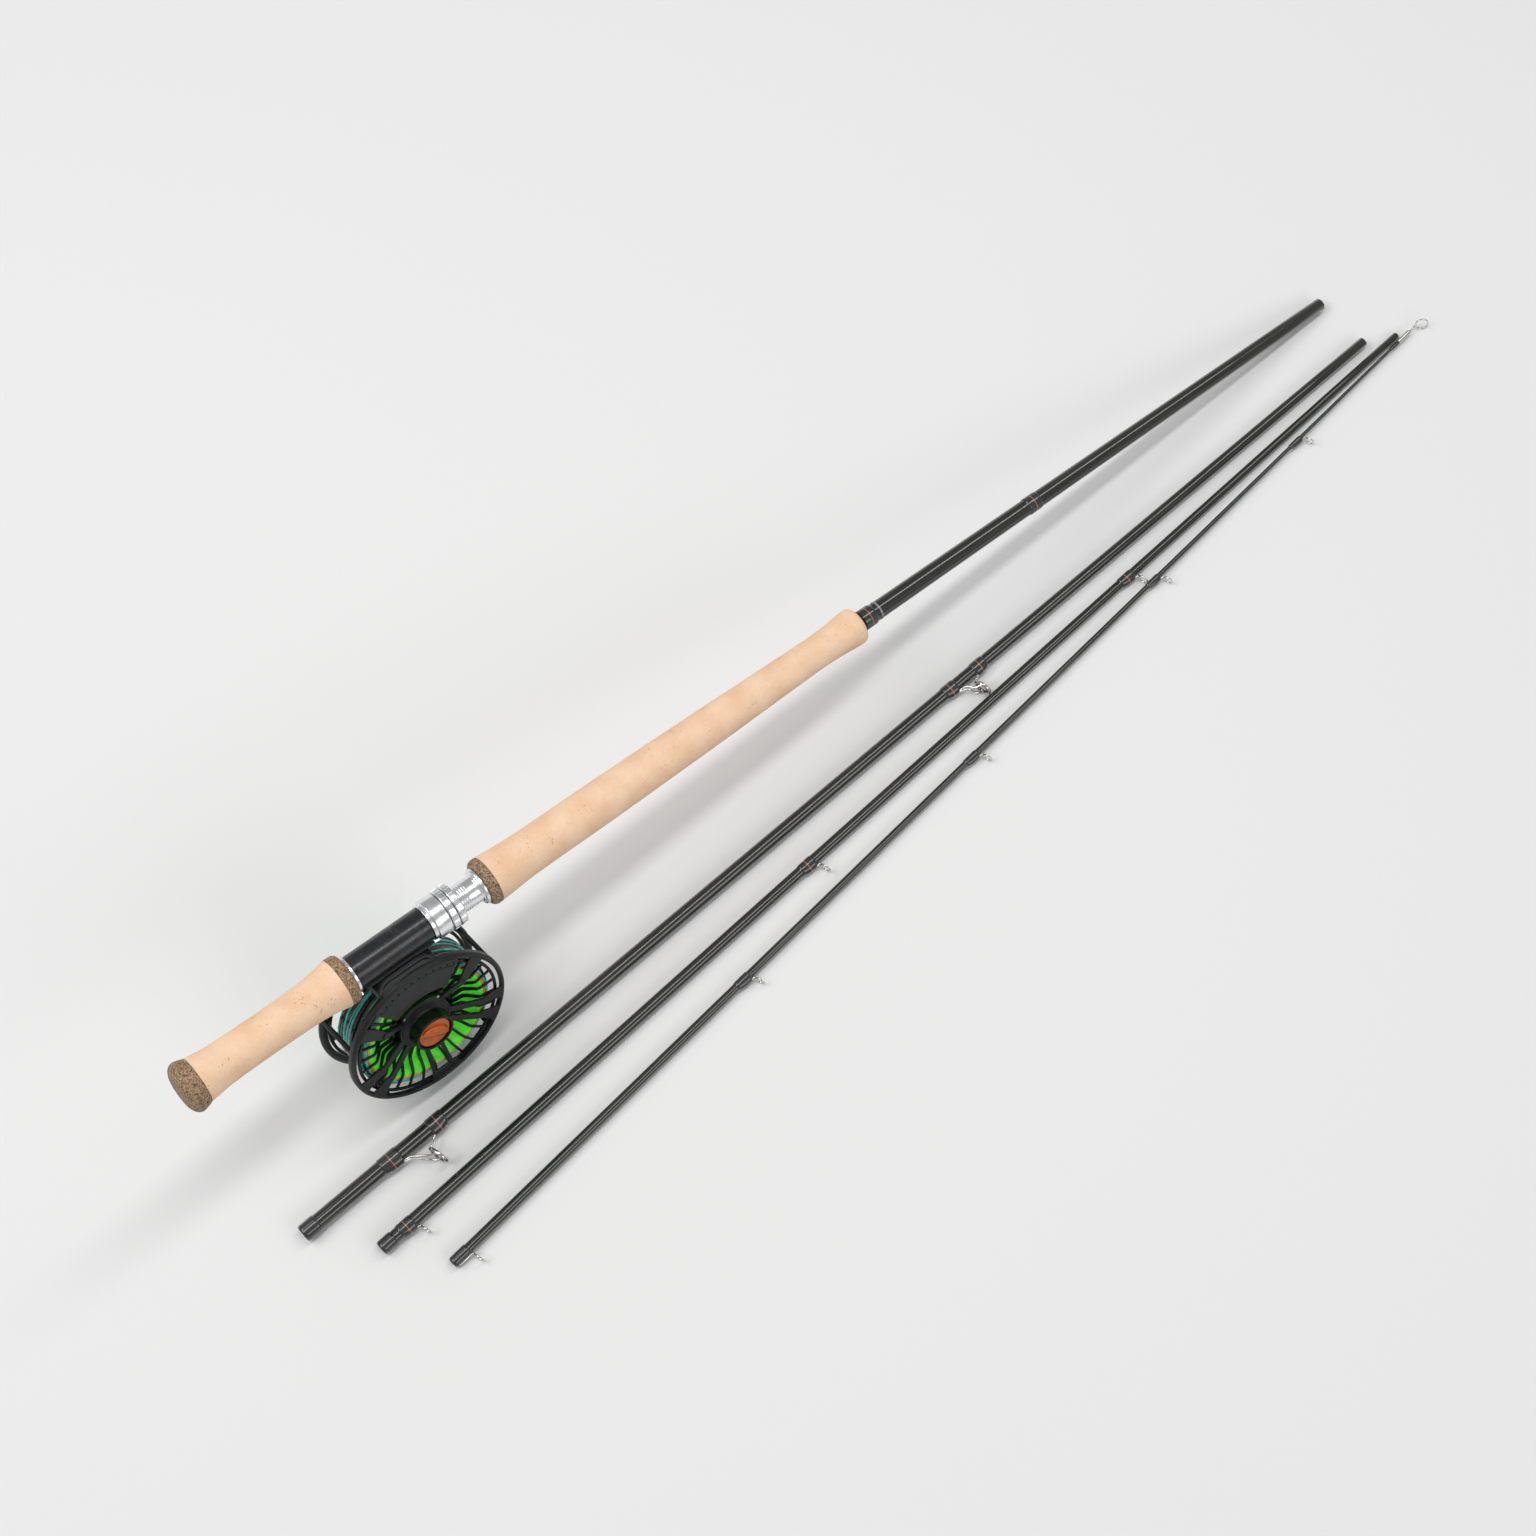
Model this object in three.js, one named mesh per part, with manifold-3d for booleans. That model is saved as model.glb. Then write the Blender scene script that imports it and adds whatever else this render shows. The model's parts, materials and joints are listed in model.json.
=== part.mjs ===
// A two-handed fly rod taken down into its four sections, with a full-cage fly reel
// on the butt section. The butt section stands on the reel's rear rim, on the handle
// knob and on the far end of its blank; the other sections lie beside it.
// Millimetres, +Z up, +X along the butt section towards its far end. The origin is
// the centre of the bottom of the bounding box.
import * as THREE from 'three';
import Module from 'manifold-3d';
import { mergeVertices } from 'three/addons/utils/BufferGeometryUtils.js';

const wasm = await Module();
wasm.setup();

// ---- Driving dimensions ----
const GAP = 0.3;                 // air between pieces that touch
const DEGREE = Math.PI / 180;

// Butt section, measured along the rod from the reel's axis.
const BUTT_END = -139;
const CAP_TOP = -127;
const LOWER_GRIP_TOP = -36;
const SEAT_BACK = -27;
const SEAT_FRONT = 22;
const BARREL_END = 60;
const FOREGRIP_RING_END = 66;
const FOREGRIP_TOP = 338;
const BUTT_TIP = 729;
const BLANK_R_BUTT = 6.1;
const BLANK_R_GRIP = 5.75;
const BLANK_R_TIP = 4.15;
const SEAT_R = 10.2;
const BARREL_R = 8.3;
const HOOD_R = 12.2;
const HOOD_BACK = SEAT_FRONT + GAP;
const HOOD_FRONT = 33.6;
const NUT_WIDTH = 4.6;

// Reel, measured along its axis from the middle of the cage (minus is the drag side).
const REEL_DROP = 61.5;          // rod axis to reel axis
const CAGE_HALF = 17.5;
const RIM_R = 52;
const RIM_INNER_R = 48.9;
const RIM_FACE = -17.9;
const PLATE_FACE = -18.3;         // the arms and plates stand proud of the front rim
const PLATE_BACK = -16.8;
const REAR_RIM_INNER_R = 47.6;
const REAR_EDGE = 16.4;          // where the rear rim is widest
const RIM_SIDES = 48;             // flats round the rims
const HUB_FACE = -13.4;
const HUB_BACK = -10.9;
const SPOOL_R = 46.9;
const ARBOR_R = 20.5;
const FRONT_RING_R = 47.2;
const BACKING_R = 38.5;
const RUNNING_R = 40.1;
const LINE_R = 42;
const SPINDLE_R = 2.9;
const DRAG_SIDES = 16;            // flats round the rings inside the hub
const FLANGE_FRONT = -16.4;
const FLANGE_BACK = -15;
const DISH_FRONT = -9.9;
const DISH_BACK = -7.9;
const REAR_FLANGE = 13.7;
const SPOOL_RIBS = 30;
const KNOB_PIN_R = 39;           // reel axis to handle pin
const KNOB_R = 5.8;
const PIN_SHOULDER = 2.2;        // holds the knob's inner end clear of the rear rim
const FOOT_R = [10.5, 12.3];     // inside and outside of the curved foot

// How the butt section stands.
const LEAN = 18 * DEGREE;        // the reel leans back over its handle

// The other three sections: length, outer and bore radii at both ends, where the
// lower end lies (from the point under the reel's axis) and the way it points.
const SECTIONS = {
  2: { length: 858, outer: [4.95, 3.1], bore: [4.2, 2.4], at: [-133, -72], yaw: 2.35, tipRest: 3.8 },
  3: { length: 850, outer: [4.1, 2.35], bore: [3.2, 1.6], at: [-103.5, -106.5], yaw: 4.05 },
  4: { length: 832, outer: [3.15, 0.9], bore: [2.45, 0], at: [-77, -138.5], yaw: 6.1, tipRest: 3.5 },
};
const SOCKET_DEPTH = 55;
const WRAP = 0.35;               // thickness of a varnished thread wrap
const TIP_BORE_END = 420;        // the tip section is solid beyond this

// Guides: where each stands on its section, its ring's outer radius, the height of the
// ring's centre over the blank's axis, and the wire's radius.
const STRIPPERS = [
  { name: '1', at: 86.5, ring: 7.1, height: 16.3, lower: [57, 70.5], upper: [92, 103.5] },
  { name: '2', at: 515.5, ring: 5.9, height: 12.7, lower: [495, 504.6], upper: [518.7, 528.3] },
];
const WIRE_GUIDES = {
  3: [{ at: 26, ring: 4 }, { at: 340, ring: 3.9 }, { at: 611, ring: 3.6 }],
  4: [{ at: 13, ring: 4 }, { at: 240, ring: 3.5 }, { at: 435, ring: 3.4 }, { at: 598, ring: 3.3 },
    { at: 731, ring: 3.2 }],
};
const WIRE_R = 0.5;
const GUIDE_FOOT = 11;
const SHOE = 3.4;                // the bare part of a stripping guide's foot
const RING_TILT = 14 * DEGREE;
const TIP_RING = 4.4;
const TIP_TILT = 40 * DEGREE;
const FLOOR_CLEARANCE = 0.05;

// ---- Materials ----
function material(color, roughness, metalness = 0) {
  return new THREE.MeshStandardMaterial({ color, roughness, metalness });
}
const blankBlack = material(0x23261f, 0.22, 0.1);
const threadBlack = material(0x121214, 0.3);
const cork = material(0xe6cba8, 0.85);
const burlCork = material(0x8a6c4c, 0.85);
const seatBlack = material(0x17191b, 0.35, 0.2);
const aluminium = material(0xd8dadc, 0.25, 0.95);
const anodised = material(0x1b1c1e, 0.5, 0.5);
const orangeAnodised = material(0xc8521f, 0.4, 0.5);
const steel = material(0xb9bcc2, 0.2, 1);
const carbonDisc = material(0x2a2a2a, 0.7);
const backingGreen = material(0x35d13a, 0.7);
const runningOrange = material(0xe8741c, 0.6);
const flyLine = material(0x1f4f48, 0.45);

// ---- Geometry helpers ----
// A body turned about +Y. Its profile is [height, radius] points, outside first with
// the height rising; it starts and ends on the axis or is closed here.
function turnedY(profile, segments = 20) {
  const touchesAxis = profile[0][1] === 0 && profile.at(-1)[1] === 0;
  const closed = touchesAxis ? profile : [...profile, profile[0]];
  return new THREE.LatheGeometry(closed.map(([h, r]) => new THREE.Vector2(r, h)), segments);
}
// The same about +X, for what is threaded on a blank.
function turnedX(profile, segments = 16) {
  return turnedY(profile, segments).rotateZ(-Math.PI / 2);
}
function tube(x0, x1, outer0, outer1, inner0, inner1 = inner0, segments = 16) {
  return turnedX([[x0, outer0], [x1, outer1], [x1, inner1], [x0, inner0]], segments);
}
function toSolid(geometry) {
  const bare = geometry.clone();
  bare.deleteAttribute('normal');
  bare.deleteAttribute('uv');
  const merged = mergeVertices(bare, 1e-4);
  const triangles = [];
  for (let i = 0; i < merged.index.count; i += 3) {
    const [a, b, c] = [0, 1, 2].map((k) => merged.index.getX(i + k));
    if (a !== b && b !== c && c !== a) triangles.push(a, b, c);
  }
  return new wasm.Manifold(new wasm.Mesh({
    numProp: 3,
    vertProperties: new Float32Array(merged.attributes.position.array),
    triVerts: new Uint32Array(triangles),
  }));
}
function toGeometry(solid) {
  const { vertProperties, triVerts } = solid.getMesh();
  const geometry = new THREE.BufferGeometry();
  geometry.setAttribute('position', new THREE.BufferAttribute(vertProperties, 3));
  geometry.setIndex(new THREE.BufferAttribute(triVerts, 1));
  geometry.computeVertexNormals();
  return geometry;
}
function join(geometries) {
  return toGeometry(geometries.map(toSolid).reduce((sum, next) => sum.add(next)));
}
function cut(geometry, cutters) {
  return toGeometry(cutters.map(toSolid).reduce((rest, next) => rest.subtract(next), toSolid(geometry)));
}
function outline(points) {
  return new THREE.Shape(points.map(([x, y]) => new THREE.Vector2(x, y)));
}
// A flat outline in x and z, from y0 to y1.
function plateXZ(shape, y0, y1, curveSegments = 6) {
  const plate = new THREE.ExtrudeGeometry(shape, { depth: y1 - y0, bevelEnabled: false, curveSegments });
  return plate.rotateX(Math.PI / 2).translate(0, y1, 0);
}
// A flat outline in y and z, from x0 to x1.
function plateYZ(shape, x0, x1, curveSegments = 4) {
  const plate = new THREE.ExtrudeGeometry(shape, { depth: x1 - x0, bevelEnabled: false, curveSegments });
  const turn = new THREE.Matrix4().makeBasis(
    new THREE.Vector3(0, 1, 0), new THREE.Vector3(0, 0, 1), new THREE.Vector3(1, 0, 0));
  return plate.applyMatrix4(turn).translate(x0, 0, 0);
}
// Part of a tube wall about the rod's axis, on the side of the reel (-Z).
function footBand(inner, outer, halfAngle, x0, x1) {
  const shape = new THREE.Shape();
  const [from, to] = [-Math.PI / 2 - halfAngle, -Math.PI / 2 + halfAngle];
  shape.absarc(0, 0, outer, from, to, false);
  shape.absarc(0, 0, inner, to, from, true);
  return plateYZ(shape, x0, x1);
}
function wire(points, radius, steps, sides = 6) {
  const path = new THREE.CatmullRomCurve3(points.map((p) => new THREE.Vector3(...p)));
  const section = new THREE.Shape();
  section.absarc(0, 0, radius, 0, 2 * Math.PI, false);
  return new THREE.ExtrudeGeometry(section, {
    extrudePath: path, steps, curveSegments: sides / 2, bevelEnabled: false,
  });
}
function node(name, geometry, look, parent) {
  const mesh = new THREE.Mesh(geometry, look);
  mesh.name = name;
  parent.add(mesh);
  return mesh;
}

// ---- Butt section: grips and blank ----
function blankRadius(x) {
  if (x < FOREGRIP_TOP) {
    return THREE.MathUtils.mapLinear(x, CAP_TOP, FOREGRIP_TOP, BLANK_R_BUTT, BLANK_R_GRIP);
  }
  return THREE.MathUtils.mapLinear(x, FOREGRIP_TOP, BUTT_TIP, BLANK_R_GRIP, BLANK_R_TIP);
}
const BORE_R = BLANK_R_BUTT + GAP;

function addGrips(butt) {
  const start = CAP_TOP + GAP;
  node('butt_blank', turnedX([
    [start, BLANK_R_BUTT], [FOREGRIP_TOP, BLANK_R_GRIP], [BUTT_TIP, BLANK_R_TIP],
    [BUTT_TIP, 3.3], [start, 4.9]]), blankBlack, butt);
  node('butt_cap', turnedX([
    [BUTT_END, 0], [BUTT_END, 9], [-137.6, 13.2], [-134.5, 15.6], [-131, 15.3], [-128.5, 14],
    [CAP_TOP, 13.5], [CAP_TOP, 0]]), burlCork, butt);
  const lower = [[start, 13.4], [-122, 13.2], [-115, 12.4], [-105, 12.05], [-90, 11.9], [-65, 11.9],
    [-52, 12.4], [-44, 13.3], [-38.5, 14.5], [LOWER_GRIP_TOP - GAP, 14.8]];
  node('lower_grip', turnedX([...lower, [LOWER_GRIP_TOP - GAP, BORE_R], [start, BORE_R]]), cork, butt);

  // The fixed hood's pocket is sunk into the burl ring.
  const ring = turnedX([[LOWER_GRIP_TOP, 14.8], [-30.6, 14.8], [-29.3, 13.8], [-29.3, BORE_R],
    [LOWER_GRIP_TOP, BORE_R]], 20);
  node('lower_grip_ring', cut(ring, [footBand(BORE_R - 1, 13.9, 42 * DEGREE, -34.3, -28)]), burlCork, butt);

  const fore = [[FOREGRIP_RING_END + GAP, 14.3], [72, 14], [78, 13.6], [88, 13], [100, 12.75],
    [143, 12.7], [177, 12.3], [221, 11.65], [266, 10.7], [299, 10], [310, 10.05], [321, 10.5],
    [331, 11.5], [335, 11.6], [337.2, 10.7], [FOREGRIP_TOP, 9.3]];
  node('foregrip_ring', turnedX([[BARREL_END + GAP, 12.2], [61.2, 13.6], [62.8, 14.3],
    [FOREGRIP_RING_END, 14.3], [FOREGRIP_RING_END, BORE_R], [BARREL_END + GAP, BORE_R]]),
  burlCork, butt);
  node('foregrip', turnedX([...fore, [FOREGRIP_TOP, BORE_R],
    [FOREGRIP_RING_END + GAP, BORE_R]]), cork, butt);
  const check = FOREGRIP_TOP + GAP;
  node('winding_check', tube(check, check + 1.6, 7.6, 7.2, 6.2), aluminium, butt);
  const wrap = check + 1.6 + GAP;
  node('butt_wrap', tube(wrap, wrap + 8, 6.5, 6.3, 6.0), threadBlack, butt);
}

// ---- Butt section: reel seat ----
function addSeat(butt) {
  const hoodRing = tube(-29, SEAT_BACK, 11.3, 11.3, BORE_R, BORE_R, 20);
  const pocket = footBand(BORE_R + 2, 13.5, 38 * DEGREE, -34, SEAT_BACK);
  const slot = footBand(FOOT_R[0] - 1, FOOT_R[1], 32 * DEGREE, -32.5, SEAT_BACK + 1);
  node('seat_fixed_hood', toGeometry(
    toSolid(join([hoodRing, pocket])).subtract(toSolid(slot))), aluminium, butt);
  node('seat_body', tube(SEAT_BACK + GAP, SEAT_FRONT, SEAT_R, SEAT_R, BORE_R, BORE_R, 20), seatBlack, butt);
  node('seat_barrel', turnedX([[SEAT_FRONT + GAP, BARREL_R], [57, BARREL_R], [57.6, 9.2],
    [58.2, 11.3], [BARREL_END, 11.3], [BARREL_END, BORE_R], [SEAT_FRONT + GAP, BORE_R]], 20),
  aluminium, butt);

  const bore = BARREL_R + GAP;
  const hood = turnedX([[HOOD_BACK, 11.3], [24.6, 11.3], [25.2, HOOD_R], [HOOD_FRONT, HOOD_R],
    [HOOD_FRONT, bore], [HOOD_BACK, bore]], 20);
  const lug = footBand(bore + 1, 13.7, 38 * DEGREE, HOOD_BACK, HOOD_FRONT);
  const mouth = footBand(FOOT_R[0] - 0.4, FOOT_R[1] + GAP, 33 * DEGREE, HOOD_BACK - 1, 32);
  node('sliding_hood', toGeometry(toSolid(join([hood, lug])).subtract(toSolid(mouth))), aluminium, butt);
  const nutStarts = { lock_nut: HOOD_FRONT + GAP, jam_nut: HOOD_FRONT + NUT_WIDTH + 2 * GAP };
  for (const [name, start] of Object.entries(nutStarts)) {
    node(name, turnedX([[start, 12.2], [start + 0.5, 12.7], [start + NUT_WIDTH - 0.5, 12.7],
      [start + NUT_WIDTH, 12.2], [start + NUT_WIDTH, bore], [start, bore]], 20), aluminium, butt);
  }
}

// ---- Reel: cage, foot and drag ----
function polar(radius, fromUp) {
  return [radius * Math.sin(fromUp), radius * Math.cos(fromUp)];
}
// A strut of the drag-side face, rising from the hub to the face between two [x, z] points.
function strut([x0, z0], [x1, z1], width, risen = 0.9) {
  const length = Math.hypot(x1 - x0, z1 - z0);
  const side = outline([[0, HUB_FACE], [length * risen, PLATE_FACE], [length, PLATE_FACE],
    [length, PLATE_BACK], [length * risen, PLATE_BACK], [0, HUB_BACK]]);
  const bar = new THREE.ExtrudeGeometry(side, { depth: width, bevelEnabled: false });
  return bar.translate(0, 0, -width / 2).rotateY(-Math.atan2(z1 - z0, x1 - x0)).translate(x0, 0, z0);
}
function arm(fromAngle, toAngle, reach = 38) {
  return strut(polar(15.5, fromAngle * DEGREE), polar(reach, toAngle * DEGREE), 4);
}
// A flat piece of the face; its corners are [radius, degrees from the top].
function facePlate(corners) {
  const shape = outline(corners.map(([radius, angle]) => polar(radius, angle * DEGREE)));
  return plateXZ(shape, PLATE_FACE, PLATE_BACK);
}
function mirrored(corners) {
  return corners.map(([radius, angle]) => [radius, -angle]).reverse();
}
function pillar(fromUp) {
  const [x, z] = polar(50.3, fromUp * DEGREE);
  const post = new THREE.CylinderGeometry(1.5, 1.5, 2 * CAGE_HALF - 2, 8);
  return post.translate(x, 0, z);
}
function cageFaces() {
  const front = turnedY([[RIM_FACE, 50.7], [RIM_FACE + 1.3, RIM_R], [-13.6, RIM_R], [-13.6, 50],
    [-15.4, RIM_INNER_R], [RIM_FACE, RIM_INNER_R]], RIM_SIDES);
  const rear = turnedY([[13.8, 50.6], [14.6, RIM_R], [REAR_EDGE, RIM_R], [CAGE_HALF, 51],
    [CAGE_HALF, REAR_RIM_INNER_R], [13.8, REAR_RIM_INNER_R]], RIM_SIDES);
  const hub = turnedY([[HUB_FACE, 17], [HUB_BACK, 17], [HUB_BACK, 7], [HUB_FACE, 7]], 24);
  return [front, rear, hub];
}
// The solid top of the drag-side face.
function topPlate() {
  const half = 34.5;
  const shape = new THREE.Shape();
  shape.moveTo(...polar(49.6, half * DEGREE));
  shape.absarc(0, 0, 49.6, (90 - half) * DEGREE, (90 + half) * DEGREE, false);
  shape.lineTo(...polar(30, -half * DEGREE));
  shape.absarc(0, 0, 30, (90 + half) * DEGREE, (90 - half) * DEGREE, true);
  return plateXZ(shape, PLATE_FACE, PLATE_BACK, 16);
}
// The broad outer ends of the arms, where they meet the rim.
function armPlates() {
  const ends = [
    [[49.6, 45.5], [43, 45.5], [31.5, 50], [34.5, 58.5], [44, 57], [49.6, 57]],
    [[49.6, 99], [44, 99.5], [36.3, 100.5], [36.3, 108], [44, 108.3], [49.6, 108.8]],
    [[49.6, 116.5], [44, 117], [36.3, 117.5], [36.3, 125], [44, 126], [49.6, 128]]];
  return ends.flatMap((corners) => [facePlate(corners), facePlate(mirrored(corners))]);
}
// Two rails below the hub, and the plate that joins them to the rim.
function bottomSpoke() {
  const plate = outline([[-6.9, -40.6], [9.6, -40.6], [12.6, -48.4], [-8.8, -48.8]]);
  const rails = [-1, 1].map((side) => strut([side * 4.4, -15], [side * 5.9, -41.5], 2.4, 0.8));
  return [...rails, plateXZ(plate, PLATE_FACE, PLATE_BACK)];
}
function hubShoulder() {
  return plateXZ(outline([[-6.5, 19.5], [6.5, 19.5], [13, 15.5], [13, 8], [-13, 8], [-13, 15.5]]),
    HUB_FACE, HUB_BACK);
}
function footBlock() {
  const across = outline([[-17.5, 47.8], [17.5, 47.8], [17.5, 51.4], [13.5, 52.4], [9, 53.6],
    [-9, 53.6], [-13.5, 52.4], [-17.5, 51.4]]);
  return plateYZ(across, -20, 16);
}
function addCage(reel) {
  const arms = [[102, 104.3], [126, 121.5], [46, 54, 34]].flatMap(([hub, rim, reach]) => [
    arm(hub, rim, reach), arm(-hub, -rim, reach)]);
  const pillars = [68, 135, -68, -135].map(pillar);
  const cage = join([...cageFaces(), ...arms, ...armPlates(), topPlate(), ...bottomSpoke(),
    hubShoulder(), footBlock(), ...pillars]);
  // The shoulder and the arms' roots are bored for the drag like the hub itself.
  const hubBore = new THREE.CylinderGeometry(7, 7, 4, 24).translate(0, (HUB_FACE + HUB_BACK) / 2, 0);
  const seatClear = new THREE.CylinderGeometry(FOOT_R[1] + GAP, FOOT_R[1] + GAP, 60, 24);
  seatClear.rotateZ(Math.PI / 2).translate(0, 0, REEL_DROP);
  const screwHoles = [-11, 9].map((x) => new THREE.CylinderGeometry(1.9, 1.9, 6, 8)
    .rotateX(Math.PI / 2).translate(x, 0, 48));
  node('reel_frame', cut(cage, [seatClear, hubBore, ...screwHoles]), anodised, reel);

  // The foot is a curved plate about the rod's axis, thinner towards its two ends.
  const foot = join([
    footBand(FOOT_R[0], FOOT_R[1], 45 * DEGREE, -24, 20),
    footBand(FOOT_R[0], FOOT_R[1] - 0.6, 28 * DEGREE, -32, 31)]);
  foot.translate(0, 0, REEL_DROP);
  node('reel_foot', foot, anodised, reel);
  for (const [index, x] of [-11, 9].entries()) {
    const screw = turnedY([[47.6, 0], [47.6, 1.6], [48.9, 1.6], [48.9, 0]], 8);
    node(`foot_screw_${index + 1}`, screw.rotateX(Math.PI / 2).translate(x, 0, 0), steel, reel);
  }
}
function addDrag(reel) {
  node('hub_collar', turnedY([[-23.4, 11.9], [-22.9, 12.4], [-15.2, 12.6], [-14.8, 13.2],
    [HUB_FACE - GAP, 15.9], [HUB_FACE - GAP, 7], [-16, 7], [-16, 10.8], [-23.4, 10.8]], 24), anodised, reel);
  const knob = turnedY([[-22.5, 0], [-22.5, 9.8], [-22, 10.3], [-16.4, 10.3], [-16.4, 6.6],
    [-9.9, 6.6], [-9.9, 3.2], [-20, 3.2], [-20, 0]]);
  const grip = outline([[-9.6, -0.9], [-4, -3.1], [9.6, -1.2], [9.6, 0.9], [4, 3.1], [-9.6, 1.2]]);
  node('drag_knob', join([knob, plateXZ(grip, -23.9, -22)]), orangeAnodised, reel);
  node('spindle', turnedY([[-19.6, 0], [-19.6, SPINDLE_R], [14, SPINDLE_R], [14, 0]], 12), steel, reel);
  node('drag_housing', turnedY([[HUB_BACK + GAP, 17.6], [-0.4, 17.6], [-0.4, 7], [-1.7, 7],
    [-1.7, 16], [HUB_BACK + GAP, 16]], 24), anodised, reel);
  node('drag_spring', turnedY([[-9, 12], [-8.5, 12], [-9, 6], [-9.5, 6]], DRAG_SIDES), steel, reel);
  node('pressure_plate', turnedY([[-8.1, 15.6], [-7, 15.6], [-7, 3.3], [-8.1, 3.3]], DRAG_SIDES),
    steel, reel);
  node('drag_disc_front', turnedY([[-6.7, 15.4], [-5.8, 15.4], [-5.8, 5], [-6.7, 5]], DRAG_SIDES),
    carbonDisc, reel);
  node('drag_disc_rear', turnedY([[-3.2, 15.4], [-2.3, 15.4], [-2.3, 8], [-3.2, 8]], DRAG_SIDES),
    carbonDisc, reel);
}

// ---- Reel: spool, line and handle ----
function rib(fromUp, profile, width) {
  const side = outline(profile);
  const bar = new THREE.ExtrudeGeometry(side, { depth: width, bevelEnabled: false });
  return bar.translate(0, 0, -width / 2).rotateY((fromUp - 90) * DEGREE);
}
function frontRibs() {
  const profile = [[19, DISH_FRONT], [28.6, DISH_FRONT], [35.6, FLANGE_FRONT], [46, FLANGE_FRONT],
    [46, FLANGE_BACK], [37.2, FLANGE_BACK], [30.4, DISH_BACK], [19, DISH_BACK]];
  return Array.from({ length: SPOOL_RIBS }, (_, i) => rib(i * 360 / SPOOL_RIBS + 5, profile, 1.5));
}
function rearRibs() {
  const count = SPOOL_RIBS / 3;
  const profile = [[19, 11.2], [46, REAR_FLANGE - 0.2], [46, REAR_FLANGE + 1.8], [19, 13]];
  return Array.from({ length: count }, (_, i) => rib((i + 0.5) * 360 / count, profile, 3.6));
}
function addSpool(reel, down) {
  const core = turnedY([[-10.4, ARBOR_R], [13, ARBOR_R], [13, 10.3], [0.4, 10.3], [0.4, 12],
    [9, 12], [9, 18.2], [-10.4, 18.2]], 30);
  const frontRing = turnedY([[FLANGE_FRONT, FRONT_RING_R], [FLANGE_BACK, FRONT_RING_R],
    [FLANGE_BACK, 45.2], [FLANGE_FRONT, 45.2]], 40);
  const rearRing = turnedY([[REAR_FLANGE - 0.4, SPOOL_R], [16.6, SPOOL_R], [16.6, 45],
    [REAR_FLANGE - 0.4, 45]], 40);
  const pinPad = new THREE.CylinderGeometry(6, 6, 2.2, 12);
  const [pinX, pinZ] = polar(KNOB_PIN_R, down);
  pinPad.translate(pinX, 14.1, pinZ);
  const weightPad = new THREE.CylinderGeometry(5.6, 5.6, 2.2, 12).translate(-pinX, 14.1, -pinZ);
  node('spool', join([core, frontRing, rearRing, ...frontRibs(), ...rearRibs(), pinPad, weightPad]),
    anodised, reel);

  // Wound line: its sides follow the dished flanges.
  const [dish, sideFront, sideBack] = [DISH_BACK + GAP, FLANGE_BACK + GAP, 10.9];
  node('backing', turnedY([[sideFront, BACKING_R], [sideBack, BACKING_R], [sideBack, ARBOR_R + GAP],
    [dish, ARBOR_R + GAP], [dish, 30.4], [sideFront, 37.3]], 32), backingGreen, reel);
  node('running_line', turnedY([[sideFront, RUNNING_R], [sideBack, RUNNING_R],
    [sideBack, BACKING_R + GAP], [sideFront, BACKING_R + GAP]], 32), runningOrange, reel);
  node('fly_line', turnedY([[sideFront, 41.3], [-11, LINE_R], [7, LINE_R], [sideBack, 41.2],
    [sideBack, RUNNING_R + GAP], [sideFront, RUNNING_R + GAP]], 32), flyLine, reel);

  node('drag_rotor', turnedY([[-5.5, 15.2], [-3.5, 15.2], [-3.5, 6.4], [7, 6.4], [7, 3.3],
    [-5.5, 3.3]], DRAG_SIDES), steel, reel);
  node('one_way_clutch', turnedY([[0.6, 10], [7, 10], [7, 6.7], [0.6, 6.7]], DRAG_SIDES), steel, reel);
  node('spool_bearing', turnedY([[8, 10], [11.5, 10], [11.5, 3.2], [8, 3.2]], DRAG_SIDES), steel, reel);
  node('spool_cap', turnedY([[14.4, 0], [14.4, 3.3], [13.3, 3.3], [13.3, 9.8], [16.6, 9.8], [17.3, 9],
    [17.3, 0]]), anodised, reel);
}
function addHandle(reel, down, knobEnd) {
  const [x, z] = polar(KNOB_PIN_R, down);
  const pinStart = 15.2 + GAP;
  const pin = turnedY([[pinStart, 0], [pinStart, 3], [pinStart + PIN_SHOULDER, 3],
    [pinStart + PIN_SHOULDER, 1.6], [knobEnd - 2.2, 1.6], [knobEnd - 2.2, 0]], 10);
  node('handle_pin', pin.translate(x, 0, z), steel, reel);
  const start = pinStart + PIN_SHOULDER + GAP;
  const knob = turnedY([[start, 5.2], [start + 1.5, 5.4], [start + 9, 4.5], [knobEnd - 4, KNOB_R - 0.1],
    [knobEnd - 1, KNOB_R], [knobEnd, KNOB_R], [knobEnd, 0], [knobEnd - 1.8, 0], [knobEnd - 1.8, 1.9],
    [start, 1.9]], 16);
  node('handle_knob', knob.translate(x, 0, z), anodised, reel);
  const weight = turnedY([[pinStart, 0], [pinStart, 5], [pinStart + 1.6, 5], [pinStart + 2, 4.4],
    [pinStart + 2, 0]], 14);
  node('counterweight', weight.translate(-x, 0, -z), aluminium, reel);
}

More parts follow.
